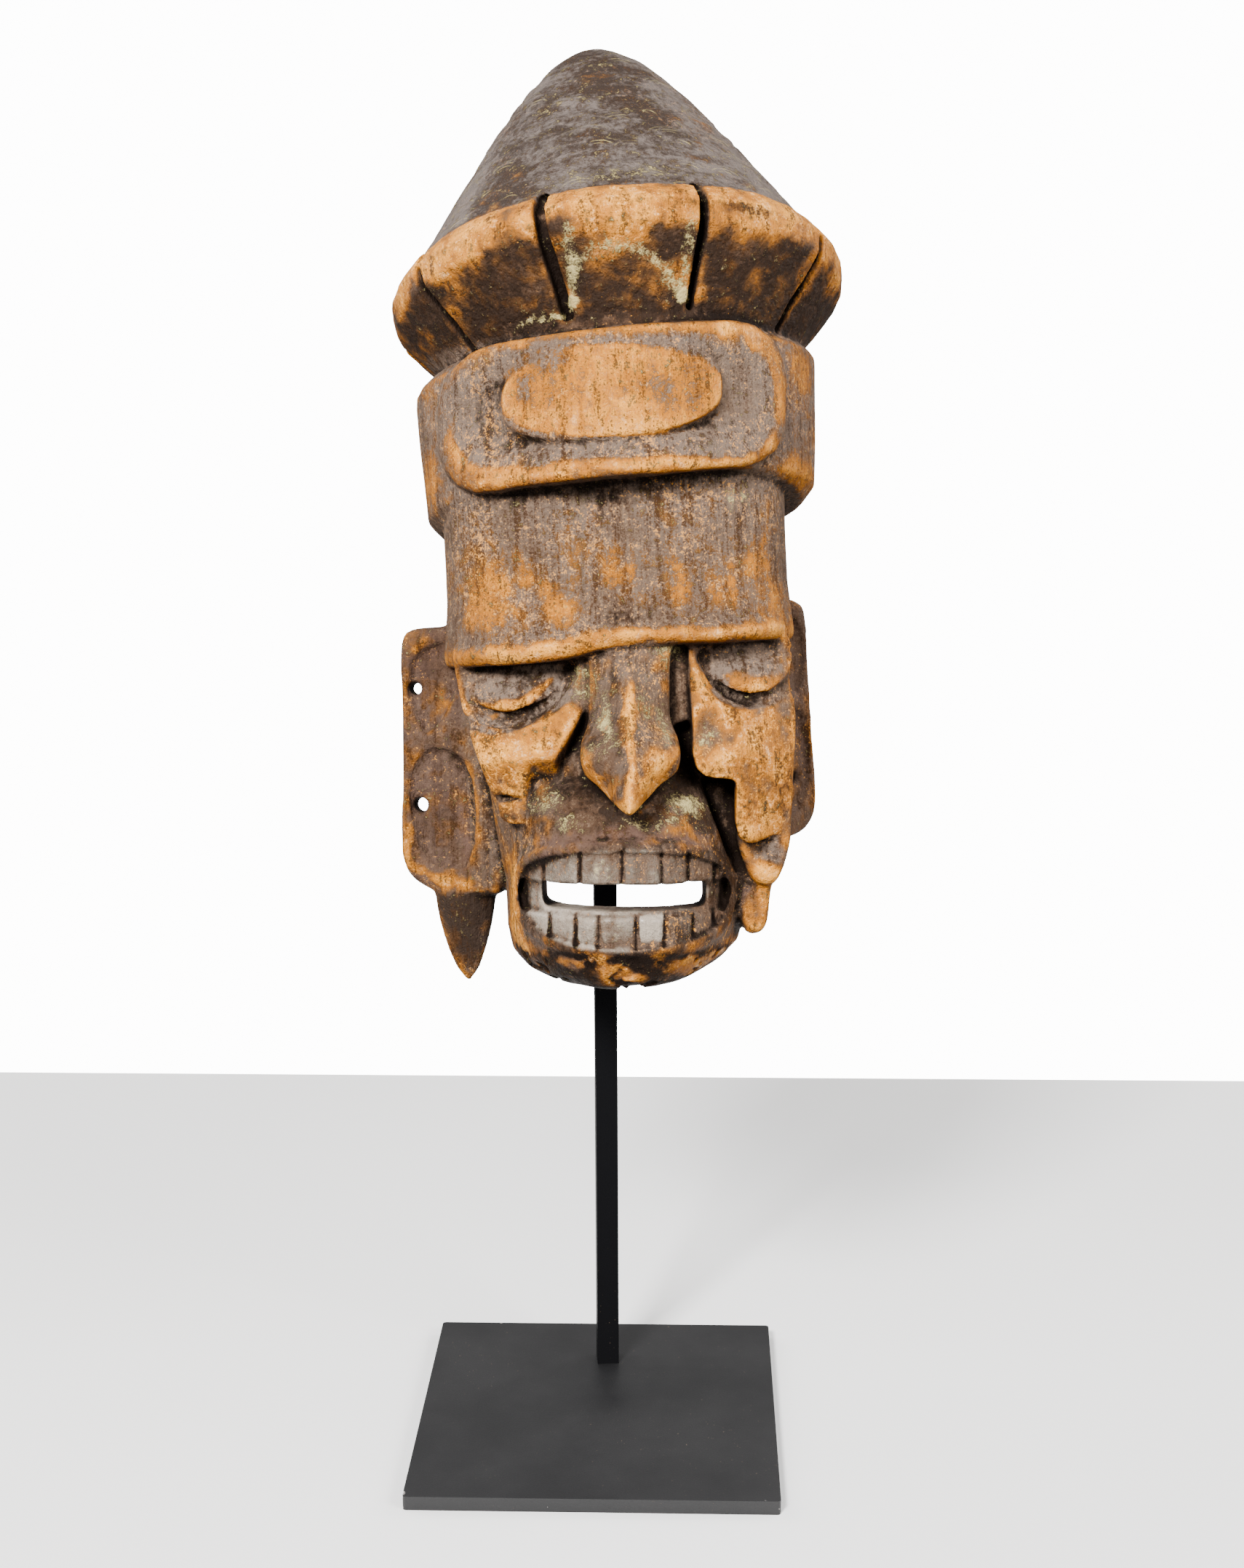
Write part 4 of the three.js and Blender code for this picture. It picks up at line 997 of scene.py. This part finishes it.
class MASK_OT_carve(bpy.types.Operator):
    """Carves the mask: remesh, tool marks, wear and its colours"""

    bl_idname = "mask.carve"
    bl_label = "Carve the mask"

    def execute(self, context):
        settings = context.scene.carving
        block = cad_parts["mask"].data.copy()
        piece = bpy.data.objects.new("carved_mask", block)
        context.scene.collection.objects.link(piece)
        remesh = piece.modifiers.new("cells", "REMESH")
        remesh.mode = "VOXEL"
        remesh.voxel_size = settings.cell
        skin = Skin(applied(piece, remesh))
        carve(skin, settings)
        wear_map(skin)
        thin = piece.modifiers.new("thin", "DECIMATE")
        thin.ratio = min(1.0, settings.faces / (2 * len(piece.data.polygons)))
        mesh = applied(piece, thin)
        mesh.name = "carved_mask"
        thinned = Skin(mesh)
        # Ambient occlusion, kept for the material to paint as shade in hollows and gaps
        thinned.paint("occlusion_shade", thinned.softened(occlusion_shade(mesh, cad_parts["mask"].data), 2))
        mesh.shade_smooth()
        mesh.materials.clear()
        mesh.materials.append(worn_wood(context.scene.finishes))
        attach(piece, "root")
        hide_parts("mask")
        return {"FINISHED"}


class MASK_OT_finish_stand(bpy.types.Operator):
    """Rounds the stand's edges a little and paints its bar and plate"""

    bl_idname = "mask.finish_stand"
    bl_label = "Finish the stand"

    def execute(self, context):
        finishes = context.scene.finishes
        low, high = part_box("stand_base")
        half = (high.x - low.x) / 2
        for name, label, gloss in (
            ("stand_bar", "dull black paint", 0.02),
            ("stand_base", "satin black paint", 0.5),
        ):
            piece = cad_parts[name]
            piece.data.materials.clear()
            piece.data.materials.append(satin_paint(label, finishes, half, gloss))
            bevel = piece.modifiers.new("edge", "BEVEL")
            bevel.width = finishes.edge
            bevel.segments = 3
            bevel.limit_method = "ANGLE"
            bevel.angle_limit = math.radians(50)
            bevel.harden_normals = True
        return {"FINISHED"}


class MASK_OT_set_stage(bpy.types.Operator):
    """Lays the floor and sets the light and the camera"""

    bl_idname = "mask.set_stage"
    bl_label = "Set the stage"

    def execute(self, context):
        scene = context.scene
        stage = scene.stage
        bpy.ops.mesh.primitive_plane_add(size=2 * stage.reach)
        floor = context.object
        floor.name = "floor"
        floor.data.materials.append(plain_matte("pale floor", stage.floor))
        floor.visible_diffuse = False
        scene.world = self.soft_sky(stage)
        self.lamp("key", (-0.45, -1.15, 1.1), 0.35, stage.key)
        self.lamp("fill", (0.95, -0.75, 0.85), 0.6, stage.fill)
        self.lamp("left rim", (-1.1, 0.55, 0.8), 0.9, stage.rim)
        self.lamp("right rim", (1.1, 0.55, 0.8), 0.9, stage.rim)
        self.camera(scene)
        return {"FINISHED"}

    def soft_sky(self, stage):
        """Soft light that fades towards the ground, in front of a bright plain backdrop."""
        world = bpy.data.worlds.new("soft sky")
        g = Graph(world)
        direction = g.node("ShaderNodeTexCoord", output="Generated")
        up = g.node("ShaderNodeSeparateXYZ", None, {0: direction}, output="Z")
        graded = {"Value": up, "From Min": -0.4, "From Max": 0.6}
        graded.update({"To Min": 0.15 * stage.sky, "To Max": stage.sky})
        light = g.node("ShaderNodeMapRange", None, graded)
        seen = g.node("ShaderNodeLightPath", output="Is Camera Ray")
        either = {"Value": seen, "To Min": light, "To Max": stage.backdrop}
        strength = g.node("ShaderNodeMapRange", None, either)
        sky = g.node("ShaderNodeBackground", None, {"Color": (1, 0.99, 0.98, 1), "Strength": strength})
        g.node("ShaderNodeOutputWorld", None, {"Surface": sky})
        return world

    def lamp(self, name, place, size, power):
        """A soft square light aimed at the mask."""
        light = bpy.data.lights.new(name, "AREA")
        light.size = size
        light.energy = power
        lamp = bpy.data.objects.new(name, light)
        bpy.context.scene.collection.objects.link(lamp)
        lamp.location = place
        lamp.rotation_euler = (MASK_MIDDLE - lamp.location).to_track_quat("-Z", "Y").to_euler()

    def camera(self, scene):
        """The photograph's viewpoint."""
        stage = scene.stage
        turn, dip, roll = (math.radians(a) for a in stage.aim)
        ahead = Vector((-math.sin(turn) * math.cos(dip), math.cos(turn) * math.cos(dip), -math.sin(dip)))
        right = Vector((math.cos(turn), math.sin(turn), 0))
        up = right.cross(ahead)
        side = right * math.cos(roll) + up * math.sin(roll)
        top = up * math.cos(roll) - right * math.sin(roll)
        lens = bpy.data.cameras.new("camera")
        lens.sensor_fit = "VERTICAL"
        lens.sensor_height = FILM_HEIGHT
        lens.lens = FILM_HEIGHT * stage.focal
        lens.clip_start = 0.01
        camera = bpy.data.objects.new("camera", lens)
        scene.collection.objects.link(camera)
        turned = Matrix((side, top, -ahead)).transposed().to_4x4()
        camera.matrix_world = Matrix.Translation(stage.eye) @ turned
        scene.camera = camera


class MASK_PT_sidebar(bpy.types.Panel):
    """Lists the steps and their settings"""

    bl_label = "Carved mask"
    bl_idname = "MASK_PT_sidebar"
    bl_space_type = "VIEW_3D"
    bl_region_type = "UI"
    bl_category = "Carved mask"

    def draw(self, context):
        scene = context.scene
        for group, step in (
            (scene.carving, MASK_OT_carve),
            (scene.finishes, MASK_OT_finish_stand),
            (scene.stage, MASK_OT_set_stage),
        ):
            box = self.layout.box()
            for key in group.__annotations__:
                box.prop(group, key)
            box.operator(step.bl_idname)


CLASSES = (
    CarvingSettings,
    FinishSettings,
    StageSettings,
    MASK_OT_carve,
    MASK_OT_finish_stand,
    MASK_OT_set_stage,
    MASK_PT_sidebar,
)


def register():
    for kind in CLASSES:
        bpy.utils.register_class(kind)
    bpy.types.Scene.carving = PointerProperty(type=CarvingSettings)
    bpy.types.Scene.finishes = PointerProperty(type=FinishSettings)
    bpy.types.Scene.stage = PointerProperty(type=StageSettings)


def unregister():
    del bpy.types.Scene.stage
    del bpy.types.Scene.finishes
    del bpy.types.Scene.carving
    for kind in reversed(CLASSES):
        bpy.utils.unregister_class(kind)


def main():
    register()
    bpy.ops.mask.carve()
    bpy.ops.mask.finish_stand()
    bpy.ops.mask.set_stage()


if __name__ == "__main__":
    main()
